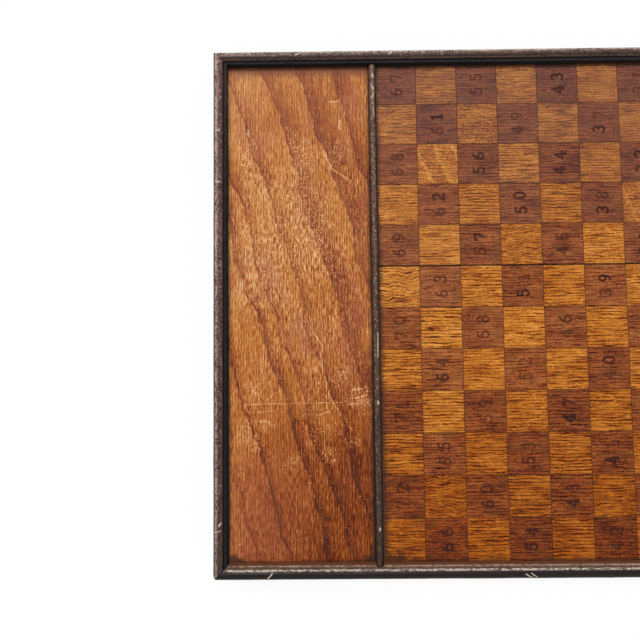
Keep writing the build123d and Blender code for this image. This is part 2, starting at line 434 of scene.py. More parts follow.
@dataclass(frozen=True, kw_only=True)
class WornStain(Finish):
    """Nearly black stain on a moulding, handled until the brown shows through on what stands up, with painted
    highlights on what faces the light and painted shade on what turns from it.
    """

    roughness: float = 0.36
    specular: float = 0.22
    stain: Colour = colour(26, 17, 15)
    wine: Colour = colour(134, 97, 85)
    # rubbed: rubbed brown that is also the painted highlight along the bead
    rubbed: Colour = colour(182, 160, 146)
    # hollow: near black for pits and open mitres, and painted shade in the quirk and on a shaded fillet and
    # inner wall
    hollow: Colour = colour(9, 12, 14)
    # ledge: the fillet's brown where it is painted as lit, and the painted highlight line at the bead's inner
    # edge
    ledge: Colour = colour(122, 95, 80)
    dust: Colour = colour(212, 190, 166)
    # bare: the brown of an inner wall painted as lit
    bare: Colour = colour(112, 60, 28)
    wear: Wear
    marks: tuple[Mark, ...]
    half_length: float
    bead_centre: float = 4.9
    bead_radius: float = 4.9
    width: float
    crest: float
    hollow_top: float = 31.9

    def build(self, turn: float, shift: Triple) -> Material:
        """The stain on one moulding.

        Args:
            turn: How far the moulding is turned about Z, in radians.
            shift: The middle of its outer edge, in metres.

        Returns:
            The material.
        """
        place = self.start(turn, shift)
        along, inward, rise = place.parts()
        strewn = self.strewn(place)
        blotch = strewn.noise((0.05, 0.35, 0.35), 4.0, 0.65)
        fibre = strewn.noise((0.16, 0.9, 0.9), 3.0, 0.6)
        fleck = strewn.noise((0.42, 0.55, 0.55), 3.0, 0.7)
        worn = total(0.5, (blotch, 0.5, 1.2), (fleck, 0.5, 1.8), (fibre, 0.5, 0.9))
        edge = self.bead_centre + self.bead_radius
        past = inward - self.wear.at
        # The brown that shows through, weaker on a bead side painted as shaded: partly rubbing, partly
        # painted shade.
        inner = self.ends(along, self.wear.inner) * inward.remap(*self.wear.fade, 1.0, 0.25)
        side = past.remap(-0.6, 0.6, self.ends(along, self.wear.outer), inner)
        body = (side * worn.remap(0.2, 0.75, 0.2, 1.0)).blend(self.stain, self.wine)
        # A pale band along the bead: rubbing, and a painted highlight where the light falls on it.
        rub_and_highlight_force = self.ends(along, self.wear.band)
        band = abs(past).remap(self.wear.half * 0.5, self.wear.half + 0.9, 1.0, 0.0)
        rub = band * rise.remap(self.crest - 4.0, self.crest - 2.4) * worn.remap(0.3, 0.6, 0.15, 1.0)
        body = (rub * rub_and_highlight_force).blend(body, self.rubbed)
        # lit marks where the stain is painted as lit; the pale specks show mostly there.
        lit = side.most(band * rub_and_highlight_force)
        body = self.speckled(strewn, body, rise, lit.remap(0.1, 0.6))
        body = self.shelf(body, along, inward, rise, worn)
        skirt = rise.remap(self.crest - 3.0, self.crest - 1.0, 0.85, 0.0)
        body = (skirt * inward.remap(edge - 2.0, edge - 1.0, 1.0, 0.0)).blend(body, self.stain)
        body = scratches(place, self.marks, 0.3, 0.45, 1.2).blend(body, self.dust)
        gloss = worn.remap(0.25, 0.75, self.roughness + 0.12, self.roughness - 0.06)
        height = total(0.5, (fibre, 0.5, 0.6), (fleck, 0.5, 1.0))
        return self.close(body, gloss + inward.remap(edge - 0.6, edge, 0.0, 0.4), height, 0.25)

    def ends(self, along: Value, pair: Point) -> Value:
        """A strength that runs evenly from one end of the moulding to the other."""
        return along.remap(-self.half_length, self.half_length, *pair, "LINEAR")

    def speckled(self, strewn: Value, body: Value, rise: Value, force: Value) -> Value:
        """Adds pale specks where the moulding stands up, and dark pits anywhere.

        Args:
            strewn: The pattern's point in millimetres.
            body: The colour so far.
            rise: The height in millimetres.
            force: How strong the specks are.

        Returns:
            The colour with specks and pits.
        """
        spots = strewn.noise((0.6, 0.7, 0.7), 2.0, 0.7).remap(0.6, 0.68)
        spots = spots * rise.remap(self.crest - 3.0, self.crest - 0.6)
        pits = strewn.noise((0.36, 0.6, 0.6), 2.0, 0.6).remap(0.56, 0.65, 0.0, 0.8)
        return pits.blend((spots * (force * 0.8)).blend(body, self.dust), self.hollow)

    def shelf(self, body: Value, along: Value, inward: Value, rise: Value, worn: Value) -> Value:
        """Colours what lies inside the bead: its lip, the quirk, the fillet, the wall and the mitres, with a
        painted highlight line at the lip, painted shade in the quirk and painted light or shade on the fillet
        and inner wall.

        Args:
            body: The colour so far.
            along: The distance along the moulding from its middle, in millimetres.
            inward: The distance from the outer edge in millimetres.
            rise: The height in millimetres.
            worn: How worn the moulding is here.

        Returns:
            The colour with the shelf in it.
        """
        edge, top = self.bead_centre + self.bead_radius, self.hollow_top
        force = self.ends(along, self.wear.shelf)
        # A pale line at the bead's inner edge: a painted highlight.
        lip = abs(inward - (edge - 1.5)).remap(0.2, 0.7, self.wear.lip, 0.0)
        body = (lip * worn.remap(0.3, 0.6, 0.3, 1.0)).blend(body, self.ledge)
        # The fillet and inner wall, painted lit in the ledge brown or shaded near black as the shelf strength
        # says.
        rubbed = force * worn.remap(0.3, 0.7, 0.5, 1.0)
        body = inward.remap(edge - 0.9, edge - 0.3).blend(body, rubbed.blend(self.hollow, self.ledge))
        # A pale rubbed arris at the fillet's inner edge, strongest where the fillet is painted as lit.
        arris = inward.remap(self.width - 1.2, self.width - 0.5) * rise.remap(top - 0.6, top)
        body = (arris * worn.remap(0.3, 0.6, 0.05, 0.35) * force).blend(body, self.rubbed)
        # The quirk darkened: partly its stain, partly painted shade in the groove.
        groove = abs(inward - (edge + 0.2)).remap(0.4, 0.9, self.wear.quirk, 0.0)
        body = (groove * rise.remap(top - 0.5, top, 1.0, 0.0)).blend(body, self.hollow)
        # The inner wall painted as lit in a light brown, as strong as the rail's wall strength.
        wall = rise.remap(top - 1.0, top - 0.3, 1.0, 0.0) * inward.remap(self.width - 1.0, self.width - 0.4)
        body = (wall * self.wear.wall * worn.remap(0.3, 0.7, 0.5, 1.0)).blend(body, self.bare)
        joint = abs(self.half_length - abs(along) - inward).remap(0.5, 1.2, 1.0, 0.0)
        return (joint * self.ends(along, self.wear.mitre)).blend(body, self.hollow)


@dataclass(frozen=True, kw_only=True)
class TrayBoard(Finish):
    """A flat-sawn board with long flame lines, a rubbed middle, scratches, and dirt and painted shade at its
    edges, painted lighter towards the rear.

    A flame is given by its place, the darkness of its line and of its band, and the band's width.
    """

    roughness: float = 0.48
    specular: float = 0.11
    tones: tuple = ((0.0, colour(60, 22, 7)), (0.25, colour(124, 54, 17)), (0.5, colour(176, 101, 46)),
                    (0.75, colour(214, 150, 88)), (1.0, colour(238, 196, 146)))
    grime: Colour = colour(46, 36, 32)
    rosy: Colour = colour(152, 84, 66)
    golden: Colour = colour(192, 124, 48)
    rear_tone: float = 0.55
    front_tone: float = 0.3
    half_width: float
    half_depth: float
    slant: float
    flames: tuple = ((-107.0, 0.6, 0.3, 8.0), (-80.0, 0.8, 0.4, 9.0), (-42.0, 1.0, 0.75, 11.0),
                     (-24.0, 0.9, 0.55, 13.0), (4.0, 0.9, 0.5, 13.0), (37.0, 0.9, 0.8, 25.0),
                     (71.0, 1.0, 0.85, 22.0), (100.0, 0.9, 0.6, 15.0))
    strides: Point = (211.0, 97.0)
    marks: tuple[Mark, ...]
    rubs: tuple[Rub, ...]

    def flame_tone(self, place: Value, strewn: Value) -> Value:
        """How dark the growth rings are: each has a thin line and a band that pales to its right.

        Args:
            place: The surface point in millimetres.
            strewn: The pattern's point in millimetres.

        Returns:
            The darkness, from 0 to 1.
        """
        x, y, _ = place.parts()
        sway = strewn.noise((0.02, 0.017, 0.0), 1.0, 0.5)
        ripple = strewn.noise((0.07, 0.07, 0.0), 2.0, 0.5)
        fray = strewn.noise((0.4, 0.12, 0.0), 2.0, 0.6)
        lean = total(x + y * self.slant, (sway, 0.5, 22.0), (ripple, 0.5, 7.0), (fray, 0.5, 1.2))
        darkness: Number = 0.0
        for at, line, band, width in self.flames:
            past = lean - at
            shade = past.remap(-0.5, 0.4) * (past.remap(0.0, width, band, 0.0) * 0.8)
            darkness = shade.most(abs(past).remap(0.4, 1.5, line, 0.0)).most(darkness)
        return darkness

    def build(self, shift: Triple) -> Material:
        """The board of one tray.

        Args:
            shift: The middle of its top, in metres.

        Returns:
            The material.
        """
        place = self.start(shift=shift)
        x, y, _ = place.parts()
        strewn = self.strewn(place)
        broken = strewn.noise((0.95, 0.15, 0.0), 2.0, 0.6)
        fibre = broken.remap(0.37, 0.63)
        grain = strewn.noise((0.66, 0.03, 0.0), 3.0, 0.65)
        cloud = strewn.noise((0.02, 0.012, 0.0), 3.0)
        lane = strewn.noise((0.06, 0.012, 0.0)).math("MULTIPLY_ADD", 6.0, x)
        drawn = strewn.noise((0.25, 0.02, 0.0)).remap(0.35, 0.65, 0.1, 1.0)
        pores = (lane * 2.6).math("SINE") * drawn
        flame = self.flame_tone(place, strewn)
        worn = self.worn_place(strewn, x, y)
        # Darker towards the right, more so towards the front: painted shade away from the light.
        lean = x * y.remap(-150.0, 0.0, -0.002, -0.0009)
        ring = flame * cloud.remap(0.35, 0.6, 1.0, 0.7) * y.remap(-80.0, 30.0, 1.35, 1.15)
        # Lighter towards the rear and darker towards the front: painted light falling from the rear.
        tone = y.remap(-self.half_depth - 6.0, 60.0, self.front_tone, self.rear_tone)
        tone = total(tone, (lean, 0.0, 1.0), (worn, 0.0, 0.03), (cloud, 0.5, 0.4), (pores, 0.0, 0.1),
                     (grain, 0.5, 0.8), (ring, 0.0, -0.32))
        tone = tone + (fibre - 0.5) * worn.math("MULTIPLY_ADD", 0.25, 0.24)
        tone = tone + self.specks(strewn, worn, flame, self.rubbed(place, strewn))
        lines = scratches(place, self.marks, 0.36, 0.46, 3.0)
        base = (tone + lines * 0.5).ramp(self.tones)
        hue = strewn.noise((0.03, 0.016, 0.0))
        gold = hue.remap(0.5, 0.34, 0.0, 0.3) * y.remap(-170.0, -60.0, 0.1, 1.0)
        base = gold.blend(base, self.golden)
        tint = hue.remap(0.48, 0.7, 0.0, 0.4).most(flame * 0.4) * y.remap(-150.0, -20.0, 0.25, 1.0)
        tint = tint.most(y.remap(-200.0, -80.0, 0.3, 0.0) * x.remap(-40.0, 30.0, 1.0, 0.0))
        # A mauve tint close under the rear rail is painted shade.
        tint = tint.most(y.remap(self.half_depth - 12.0, self.half_depth - 3.0, 0.0, 0.6))
        base = tint.blend(base, self.rosy)
        soot = strewn.noise((0.3, 0.06, 0.0), 2.0, 0.6).remap(0.56, 0.68, 0.0, 0.55)
        soot = soot * flame.remap(0.4, 0.8)
        # Dirt and painted shade at the edges, and soot along the flames.
        base = self.edge_grime(strewn, x, y).most(soot).blend(base, self.grime)
        gloss = broken.remap(0.3, 0.8, self.roughness - 0.05, self.roughness + 0.15)
        height = total(0.5, (broken, 0.5, 1.0), (grain, 0.5, 0.5), (lines, 0.0, -0.8))
        return self.close(base, gloss, height, 0.12)

    def worn_place(self, strewn: Value, x: Value, y: Value) -> Value:
        """How rubbed the board is, most of all across the middle.

        Args:
            strewn: The pattern's point in millimetres.
            x: Its distance to the right of the middle.
            y: Its distance to the rear of the middle.

        Returns:
            How worn it is, from 0 to 1.
        """
        patch = strewn.noise((0.028, 0.02, 0.0), 3.0, 0.6)
        inner = abs(x).remap(self.half_width, self.half_width - 22.0, 0.3, 1.0)
        middle = y.remap(175.0, 95.0) * y.remap(-130.0, 30.0, 0.1, 1.0)
        return middle * inner * patch.remap(0.3, 0.58, 0.35, 1.0)

    def specks(self, strewn: Value, worn: Value, flame: Value, rubbed: Value) -> Value:
        """Pale specks and curls of bare wood, thickest where the board is scratched and along its flames.

        Args:
            strewn: The pattern's point in millimetres.
            worn: How worn the board is.
            flame: How dark its rings are.
            rubbed: How thickly it is scratched.

        Returns:
            What they add to the tone.
        """
        speck = strewn.noise((0.62, 0.5, 0.0), 2.0, 0.7, 0.4)
        limit = total(0.68, (worn, 0.0, -0.02), (flame, 0.0, -0.075), (rubbed, 0.0, -0.09))
        curl = strewn.noise((0.22, 0.22, 0.0), 3.0, 0.75, 0.8)
        curls = abs(curl - 0.5).remap(0.006, 0.028, 1.0, 0.0) * speck.remap(0.4, 0.52) * rubbed
        return (speck - limit).remap(0.0, 0.03) * 0.5 + curls * 0.45

    def rubbed(self, place: Value, strewn: Value) -> Value:
        """How thickly the board is scratched.

        Args:
            place: The surface point in millimetres.
            strewn: The pattern's point in millimetres.

        Returns:
            The share of scratches, from 0 to 1.
        """
        ragged = strewn.noise((0.11, 0.11, 0.0), 3.0, 0.6).remap(0.25, 0.75, -0.6, 0.6, "LINEAR")
        share: Number = 0.0
        for rub in self.rubs:
            offset = place.vector("SUBTRACT", (rub.x, rub.y, 0.0))
            scaled = offset.vector("MULTIPLY", (1.0 / rub.half_x, 1.0 / rub.half_y, 0.0))
            far = scaled.vector("LENGTH", output=1) + ragged
            share = far.remap(0.6, 1.1, rub.strength, 0.0).most(share)
        return share

    def edge_grime(self, strewn: Value, x: Value, y: Value) -> Value:
        """Dirt along the rails and most of all in the front corners, with painted shade close under the rear
        rail and along the side rails.

        Args:
            strewn: The pattern's point in millimetres.
            x: Its distance to the right of the middle.
            y: Its distance to the rear of the middle.

        Returns:
            The share of dirt and painted shade, from 0 to 1.
        """
        side, end = self.half_width - abs(x), self.half_depth - abs(y)
        ragged = strewn.noise((0.1, 0.1, 0.0), 4.0, 0.6).remap(0.3, 0.7, 0.6, 1.4)
        deep = y.remap(-self.half_depth, self.half_depth, 0.95, 0.3, "LINEAR")
        near_side = (side / ragged).remap(0.0, 4.4, 1.0, 0.0) * deep
        shaded = (self.half_depth - y).remap(1.5, 14.0, 0.45, 0.0)
        near_end = (end / ragged).remap(0.0, 3.0, 0.5, 0.0).most(shaded)
        corner = side * 0.55 + (end + y.remap(-200.0, -150.0, 0.0, 40.0))
        return near_side.most(near_end).most((corner / ragged).remap(5.0, 12.0, 0.85, 0.0))


class OakFigure(Enum):
    """What shows on a square's face: rays, swirls, specks or only the plain streaks."""

    PLAIN = (0.0, 0.0, 0.0)
    RAY_FLECK = (1.0, 0.0, 0.0)
    MOTTLED = (0.0, 1.0, 0.0)
    SPECKLED = (0.0, 0.0, 1.0)


@dataclass(frozen=True, kw_only=True)
class OakSquare(Finish):
    """Oak with wavy dark streaks along X, a different piece of it on every square."""

    name: str = "light_oak"
    roughness: float = 0.48
    specular: float = 0.1
    tones: tuple = ((0.0, colour(72, 28, 6)), (0.25, colour(122, 56, 12)), (0.5, colour(172, 94, 27)),
                    (0.75, colour(208, 130, 46)), (1.0, colour(234, 170, 88)))
    middle: float = 0.5
    # Grey mixed into the rear squares: a painted haze of reflected light.
    dull: Colour = colour(136, 104, 88)
    # Warm darkening multiplied into the front squares: painted shade.
    deep: Colour = (0.78, 0.64, 0.42, 1.0)
    ink: Colour = colour(46, 20, 22)
    patch: Colour = colour(200, 128, 48)
    grime: Colour = colour(46, 34, 28)
    streak_strength: float = 0.78
    half_side: float
    half_length: float = 228.6
    half_depth: float = 229.0

    def build(self) -> Material:
        """The oak for every square of one tone.

        Returns:
            The material.
        """
        place = self.start()
        graph = place.graph
        tone, age_and_haze, contrast = graph.attribute("tile_look").parts()
        ray, swirl, speckle = graph.attribute("tile_figure").parts()
        across, up, _ = graph.attribute("tile_place").parts()
        strewn = place.vector("ADD", graph.attribute("tile_seed"))
        bend = (strewn.noise((0.07, 0.035, 0.0)) - 0.5) * swirl.math("MULTIPLY_ADD", 9.0, 1.6)
        bent = strewn.vector("ADD", graph.joined(0.0, bend))
        coarse = bent.noise((0.03, 0.2, 0.0))
        fine = bent.noise((0.045, 0.95, 0.0), 2.0, 0.6)
        dash = bent.noise((0.15, 0.5, 0.0), 2.0, 0.6)
        band = bent.noise((0.04, 0.08, 0.0), 3.0, 0.6)
        grain = strewn.noise((0.5, 0.5, 0.0), 3.0, 0.7)
        broken = speckle.most(ray * 0.7)
        flaky = strewn.noise((0.3, 0.62, 0.0), 2.0, 0.6).remap(0.47, 0.57)
        dots = flaky * broken.math("MULTIPLY_ADD", 0.22, 0.12)
        row = bent.parts()[1] + coarse.remap(0.0, 1.0, -2.2, 2.2, "LINEAR")
        rings = (row * contrast.remap(0.6, 1.4, 2.6, 1.9, "LINEAR")).math("SINE")
        lines = rings.remap(0.52, 0.92) * dash.remap(0.4, 0.54, 0.2, 1.05)
        lines = lines.most(fine.remap(0.55, 0.64, 0.0, 0.6))
        level = total(tone + (self.middle + self.streak_strength * 0.3 - 0.36), (band, 0.5, 0.8),
                      (fine, 0.5, -0.7), (grain, 0.5, 0.85), (dots, 0.4, -1.0))
        drawn = contrast * self.streak_strength * broken.remap(0.0, 1.0, 1.0, 0.5)
        level = level - lines * drawn + self.rays(strewn, across, up) * (ray * 0.2)
        patchy = strewn.noise((0.05, 0.09, 0.0)).remap(0.5, 0.66, 0.0, 0.34)
        base = patchy.blend(level.ramp(self.tones), self.patch)
        # Rear squares greyed with a painted haze and front ones darkened as painted shade, plus each square's
        # own random ageing.
        base = age_and_haze.remap(0.0, 1.0, kind="LINEAR").blend(base, self.deep, "MULTIPLY")
        base = age_and_haze.remap(-1.0, 0.0, 0.34, 0.0, "LINEAR").blend(base, self.dull)
        base = self.joint_line(across, up, grain).blend(base, self.grime)
        base = self.border(place).blend(base, self.grime)
        base = (graph.attribute("ink", 2) * grain.remap(0.25, 0.55, 0.7, 1.0)).blend(base, self.ink)
        gloss = fine.remap(0.3, 0.8, self.roughness - 0.06, self.roughness + 0.15)
        return self.close(base, gloss, total(0.5, (lines, 0.5, -0.7), (grain, 0.5, 0.6)), 0.12)

    def rays(self, strewn: Value, across: Value, up: Value) -> Value:
        """Pale ray bars that lean across a square.

        Args:
            strewn: The pattern's point in millimetres.
            across: How far to the right it lies on its square, from -1 to 1.
            up: How far to the rear it lies on its square, from -1 to 1.

        Returns:
            The bars, from 0 to 1.
        """
        lean = across * self.half_side + up * (0.45 * self.half_side)
        ragged = strewn.noise((0.25, 0.2, 0.0), 3.0, 0.7).remap(0.0, 1.0, -5.0, 5.0, "LINEAR")
        return ((lean + ragged) * 0.36).math("SINE").remap(0.5, 0.95)

    def joint_line(self, across: Value, up: Value, grain: Value) -> Value:
        """The dirt in the joints around a square."""
        inset = (1.0 - abs(across).most(abs(up))) * self.half_side
        return inset.remap(0.05, 0.7, 0.6, 0.0) * grain.remap(0.3, 0.6, 0.45, 1.0)

    def border(self, place: Value) -> Value:
        """The dirt and painted shade along the rails and dividers that frame the field.

        Args:
            place: The surface point in millimetres.

        Returns:
            The share of dirt and painted shade, from 0 to 1.
        """
        x, y, _ = place.parts()
        side = (self.half_length - abs(x)) * y.remap(-self.half_depth, 60.0, 0.5, 1.0)
        end = self.half_depth - abs(y)
        ragged = place.noise((0.13, 0.13, 0.0), 4.0, 0.7).remap(0.3, 0.7, 0.5, 1.6)
        near_side = (side / ragged).remap(0.0, 4.5, 0.85, 0.0)
        near_end = (end / ragged).remap(0.0, 4.5, 0.75, 0.0)
        corner = side + end + y.remap(-200.0, -150.0, 0.0, 40.0)
        return near_side.most(near_end.most((corner / ragged).remap(7.0, 19.0, 0.85, 0.0)))


@dataclass(frozen=True, kw_only=True)
class PlainPine(Finish):
    """Aged softwood of the underside, with grain along X or Y."""

    name: str = "base_pine"
    roughness: float = 0.62
    specular: float = 0.3
    early: Colour = colour(162, 122, 82)
    late: Colour = colour(128, 90, 58)
    soot: Colour = colour(74, 54, 40)

    def build(self, turn: float = 0.0) -> Material:
        """The pine with its grain turned.

        Args:
            turn: The grain's angle from X, in radians.

        Returns:
            The material.
        """
        place = self.start(turn)
        fibre = place.noise((0.02, 0.7, 0.7), 3.0, 0.6)
        sway = place.noise((0.006, 0.02, 0.02)).remap(0.0, 1.0, -22.0, 22.0, "LINEAR")
        rings = ((place.parts()[1] + sway) * 0.42).math("SINE")
        base = rings.remap(0.1, 1.0).blend(self.early, self.late)
        base = fibre.remap(0.5, 0.75, 0.0, 0.5).blend(base, self.late)
        stain = place.noise((0.012, 0.014, 0.05), 4.0, 0.65).remap(0.5, 0.72, 0.0, 0.6)
        return self.close(stain.blend(base, self.soot), self.roughness, fibre + rings * 0.2, 0.15)


@dataclass(frozen=True, kw_only=True)
class AgedMetal(Finish):
    """Old iron or steel, dark with rust in its hollows."""

    roughness: float = 0.5
    bright: Colour
    rust: Colour = colour(74, 48, 34)

    def build(self) -> Material:
        """The metal.

        Returns:
            The material.
        """
        spots = self.start().noise((0.8, 0.8, 0.8), 4.0, 0.7)
        base = spots.remap(0.42, 0.62).blend(self.bright, self.rust)
        gloss = spots.remap(0.3, 0.7, self.roughness - 0.1, self.roughness + 0.25)
        return self.close(base, gloss, spots, 0.08, 0.85)


@dataclass(frozen=True)
class PaleFloor:
    """A plain pale floor that keeps a light shadow."""

    name: str = "pale_floor"
    paint: Colour = colour(252, 252, 251)
    lift: float = 0.9

    def build(self) -> Material:
        """The floor's material.

        Returns:
            The material.
        """
        material = bpy.data.materials.new(self.name)
        material.use_nodes = True
        graph = Graph(material.node_tree, material)
        plain = graph.out("ShaderNodeBsdfDiffuse", {"Color": self.paint})
        white = graph.out("ShaderNodeEmission", {"Strength": 1.0})
        shader = graph.out("ShaderNodeMixShader", {0: seen_directly(graph) * self.lift, 1: plain, 2: white})
        graph.node("ShaderNodeOutputMaterial", {"Surface": shader})
        return material


def seen_directly(graph: Graph) -> Value:
    """1 for what the camera sees straight, mirrored or through glass, and 0 for the light itself.

    Args:
        graph: The graph that asks.

    Returns:
        1 or 0.
    """
    rays = graph.node("ShaderNodeLightPath", {}).outputs
    camera, glossy, through = (Value(graph, rays[f"Is {kind} Ray"])
                               for kind in ("Camera", "Glossy", "Transmission"))
    return camera.most(glossy).most(through)


def mesh_from(name: str, vertices: Sequence, edges: Sequence = (), faces: Sequence = ()) -> Mesh:
    """A mesh from plain lists.

    Args:
        name: The mesh's name.
        vertices: Its points.
        edges: Its loose edges.
        faces: Its faces.

    Returns:
        The mesh.
    """
    mesh = bpy.data.meshes.new(name)
    mesh.from_pydata([tuple(v) for v in vertices], list(edges), list(faces))
    mesh.update()
    return mesh


def mesh_of(work: BMesh) -> Mesh:
    """The mesh that a bmesh holds.

    Args:
        work: The bmesh, which is used up.

    Returns:
        The mesh.
    """
    mesh = bpy.data.meshes.new("made")
    work.to_mesh(mesh)
    work.free()
    return mesh


def add_object(name: str, data: bpy.types.ID) -> bpy.types.Object:
    """A scene object at the origin.

    Args:
        name: Its name.
        data: The mesh, light or camera that it shows.

    Returns:
        The object.
    """
    piece = bpy.data.objects.new(name, data)
    bpy.context.scene.collection.objects.link(piece)
    return piece


def evaluated(piece: bpy.types.Object) -> Mesh:
    """The plain mesh that a piece's modifiers make.

    Args:
        piece: The piece, which is removed.

    Returns:
        The mesh.
    """
    bpy.context.view_layer.update()
    graph = bpy.context.evaluated_depsgraph_get()
    made = bpy.data.meshes.new_from_object(piece.evaluated_get(graph))
    bpy.data.objects.remove(piece)
    return made


def grown(tree: Tree, start: Mesh, inputs: dict[str, object]) -> Mesh:
    """Runs a geometry tree and keeps its result as a plain mesh.

    Args:
        tree: The geometry tree.
        start: The mesh that it starts from.
        inputs: Its named inputs.

    Returns:
        The finished mesh.
    """
    piece = add_object("growing", start)
    modifier = piece.modifiers.new("tree", "NODES")
    modifier.node_group = tree
    for item in tree.interface.items_tree:
        if item.in_out == "INPUT" and item.name in inputs:
            modifier[item.identifier] = inputs[item.name]
    return evaluated(piece)


def geometry_tree(name: str, **inputs: str) -> tuple[Graph, dict[str, Value]]:
    """An empty geometry tree that takes a geometry, a material and more.

    Args:
        name: The tree's name.
        inputs: Socket kinds by input name.

    Returns:
        The graph, and the tree's inputs.
    """
    inputs = {"Geometry": "Geometry", **inputs, "Material": "Material"}
    graph = group_tree(name, "GeometryNodeTree", inputs, "Geometry")
    return graph, graph.given()


def close_tree(graph: Graph, shape: Value, material: Value) -> Tree:
    """Ends a geometry tree in real faces with their material."""
    real = graph.out("GeometryNodeRealizeInstances", {0: shape})
    return graph.ends(graph.out("GeometryNodeSetMaterial", {"Geometry": real, "Material": material}))


@cache
def moulding_tree() -> Tree:
    """The tree that draws a moulding's section along a line.

    The line runs along X. The section's x grows inwards, which becomes +Y, and its y becomes +Z.

    Returns:
        The tree, made on the first call.
    """
    graph, given = geometry_tree("moulding", Section="Object")
    section = graph.out("GeometryNodeObjectInfo", {0: given["Section"]}, "Geometry")
    line, section = (graph.out("GeometryNodeMeshToCurve", {0: mesh}) for mesh in (given["Geometry"], section))
    inputs = {"Curve": line, "Profile Curve": section, "Fill Caps": True}
    return close_tree(graph, graph.out("GeometryNodeCurveToMesh", inputs), given["Material"])


@cache
def weather_tree() -> Tree:
    """The tree that mitres a moulding's last stretch at both ends and lets the whole of it waver.

    Returns:
        The tree, made on the first call.
    """
    graph, given = geometry_tree("weather", Half="Float", End="Float", Mitre="Float", Waver="Float",
                                 Seed="Float")
    x, y, z = graph.out("GeometryNodeInputPosition", {}).parts()
    into = (abs(x) - (given["Half"] - given["End"])).most(0.0)
    pull = into / given["End"] * (y * given["Mitre"])
    mitred = graph.joined(x - pull * x.math("SIGN"), y, z)
    read = graph.joined(x + given["Seed"] * WAVER_SEED_STEP, y * 2.0, z * 2.0)
    noise = graph.out("ShaderNodeTexNoise", {"Vector": read, "Scale": WAVER_PER_METRE, "Detail": 3.0,
                                             "Roughness": 0.6}, 1)
    sway = noise.vector("SUBTRACT", (0.5, 0.5, 0.5)).vector("MULTIPLY", (0.0, 1.0, 1.0))
    moved = graph.out("GeometryNodeSetPosition", {"Geometry": given["Geometry"], "Position": mitred,
                                                  "Offset": sway.scaled(given["Waver"])})
    return close_tree(graph, moved, given["Material"])


def array_tree() -> Tree:
    """The tree that sets one piece on every point and carries the points' attributes over.

    Returns:
        The tree.
    """
    graph, given = geometry_tree("array", Piece="Object")
    piece = graph.out("GeometryNodeObjectInfo", {0: given["Piece"]}, "Geometry")
    points = graph.out("GeometryNodeMeshToPoints", {0: given["Geometry"]})
    copies = graph.out("GeometryNodeInstanceOnPoints", {"Points": points, "Instance": piece})
    return close_tree(graph, copies, given["Material"])


def arc(centre: Point, radii: Point, first: float, last: float, steps: int) -> list[Point]:
    """Points along part of an ellipse.

    Args:
        centre: Its middle.
        radii: Its half width and half height.
        first: The first angle, in degrees.
        last: The last angle, in degrees.
        steps: How many pieces the arc is cut into.

    Returns:
        The points, both ends included.
    """
    angles = [math.radians(first + (last - first) * i / steps) for i in range(steps + 1)]
    return [(centre[0] + radii[0] * math.cos(a), centre[1] + radii[1] * math.sin(a)) for a in angles]


def stations(half: float, end_zone: float, coarse: float) -> list[float]:
    """Places along a moulding: close together near its ends and wider apart between them.

    Args:
        half: Half of its length.
        end_zone: How far the fine spacing reaches from each end.
        coarse: The spacing elsewhere.

    Returns:
        The places from -half to half.
    """
    fine = round(end_zone / FINE_SPACING)
    ends = [half - end_zone * i / fine for i in range(fine)]
    middle = 2 * (half - end_zone)
    count = round(middle / coarse)
    between = [-middle / 2 + middle * i / count for i in range(count + 1)]
    return [-e for e in ends] + between + ends[::-1]


def carved(mesh: Mesh, cutters: Sequence[BMesh]) -> Mesh:
    """A mesh with every cutter taken out of it.

    Args:
        mesh: A closed mesh.
        cutters: Closed shapes, which are used up.

    Returns:
        The cut mesh.
    """
    whole = bmesh.new()
    for cutter in cutters:
        part = mesh_of(cutter)
        whole.from_mesh(part)
        bpy.data.meshes.remove(part)
    tool, piece = add_object("tool", mesh_of(whole)), add_object("carving", mesh)
    cut = piece.modifiers.new("cut", "BOOLEAN")
    cut.operation, cut.solver, cut.object = "DIFFERENCE", "EXACT", tool
    made = evaluated(piece)
    bpy.data.objects.remove(tool)
    return made


def outward(mesh: Mesh, sharp_angle: float = math.radians(32)) -> Mesh:
    """Closes doubles, points faces outwards and smooths all but sharp edges.

    Args:
        mesh: The mesh, which is changed.
        sharp_angle: The edge angle past which an edge stays sharp.

    Returns:
        The same mesh.
    """
    work = bmesh.new()
    work.from_mesh(mesh)
    bmesh.ops.remove_doubles(work, verts=work.verts, dist=0.002 * MM)
    bmesh.ops.recalc_face_normals(work, faces=work.faces)
    work.to_mesh(mesh)
    work.free()
    mesh.polygons.foreach_set("use_smooth", [True] * len(mesh.polygons))
    mesh.set_sharp_from_angle(angle=sharp_angle)
    return mesh


def finished(name: str, mesh: Mesh, material: Material, nodes: Sequence[str]) -> None:
    """Makes a piece of the board, which rides on its body and stands for its nodes.

    Args:
        name: The piece's name.
        mesh: Its mesh, in place.
        material: Its material.
        nodes: The nodes that it stands for.
    """
    mesh.name = name
    mesh.materials.clear()
    mesh.materials.append(material)
    piece = add_object(name, mesh)
    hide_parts(*nodes)
    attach(piece, BODY)
    log.info("%s: %d faces, stands for %s", name, len(mesh.polygons), ", ".join(nodes))


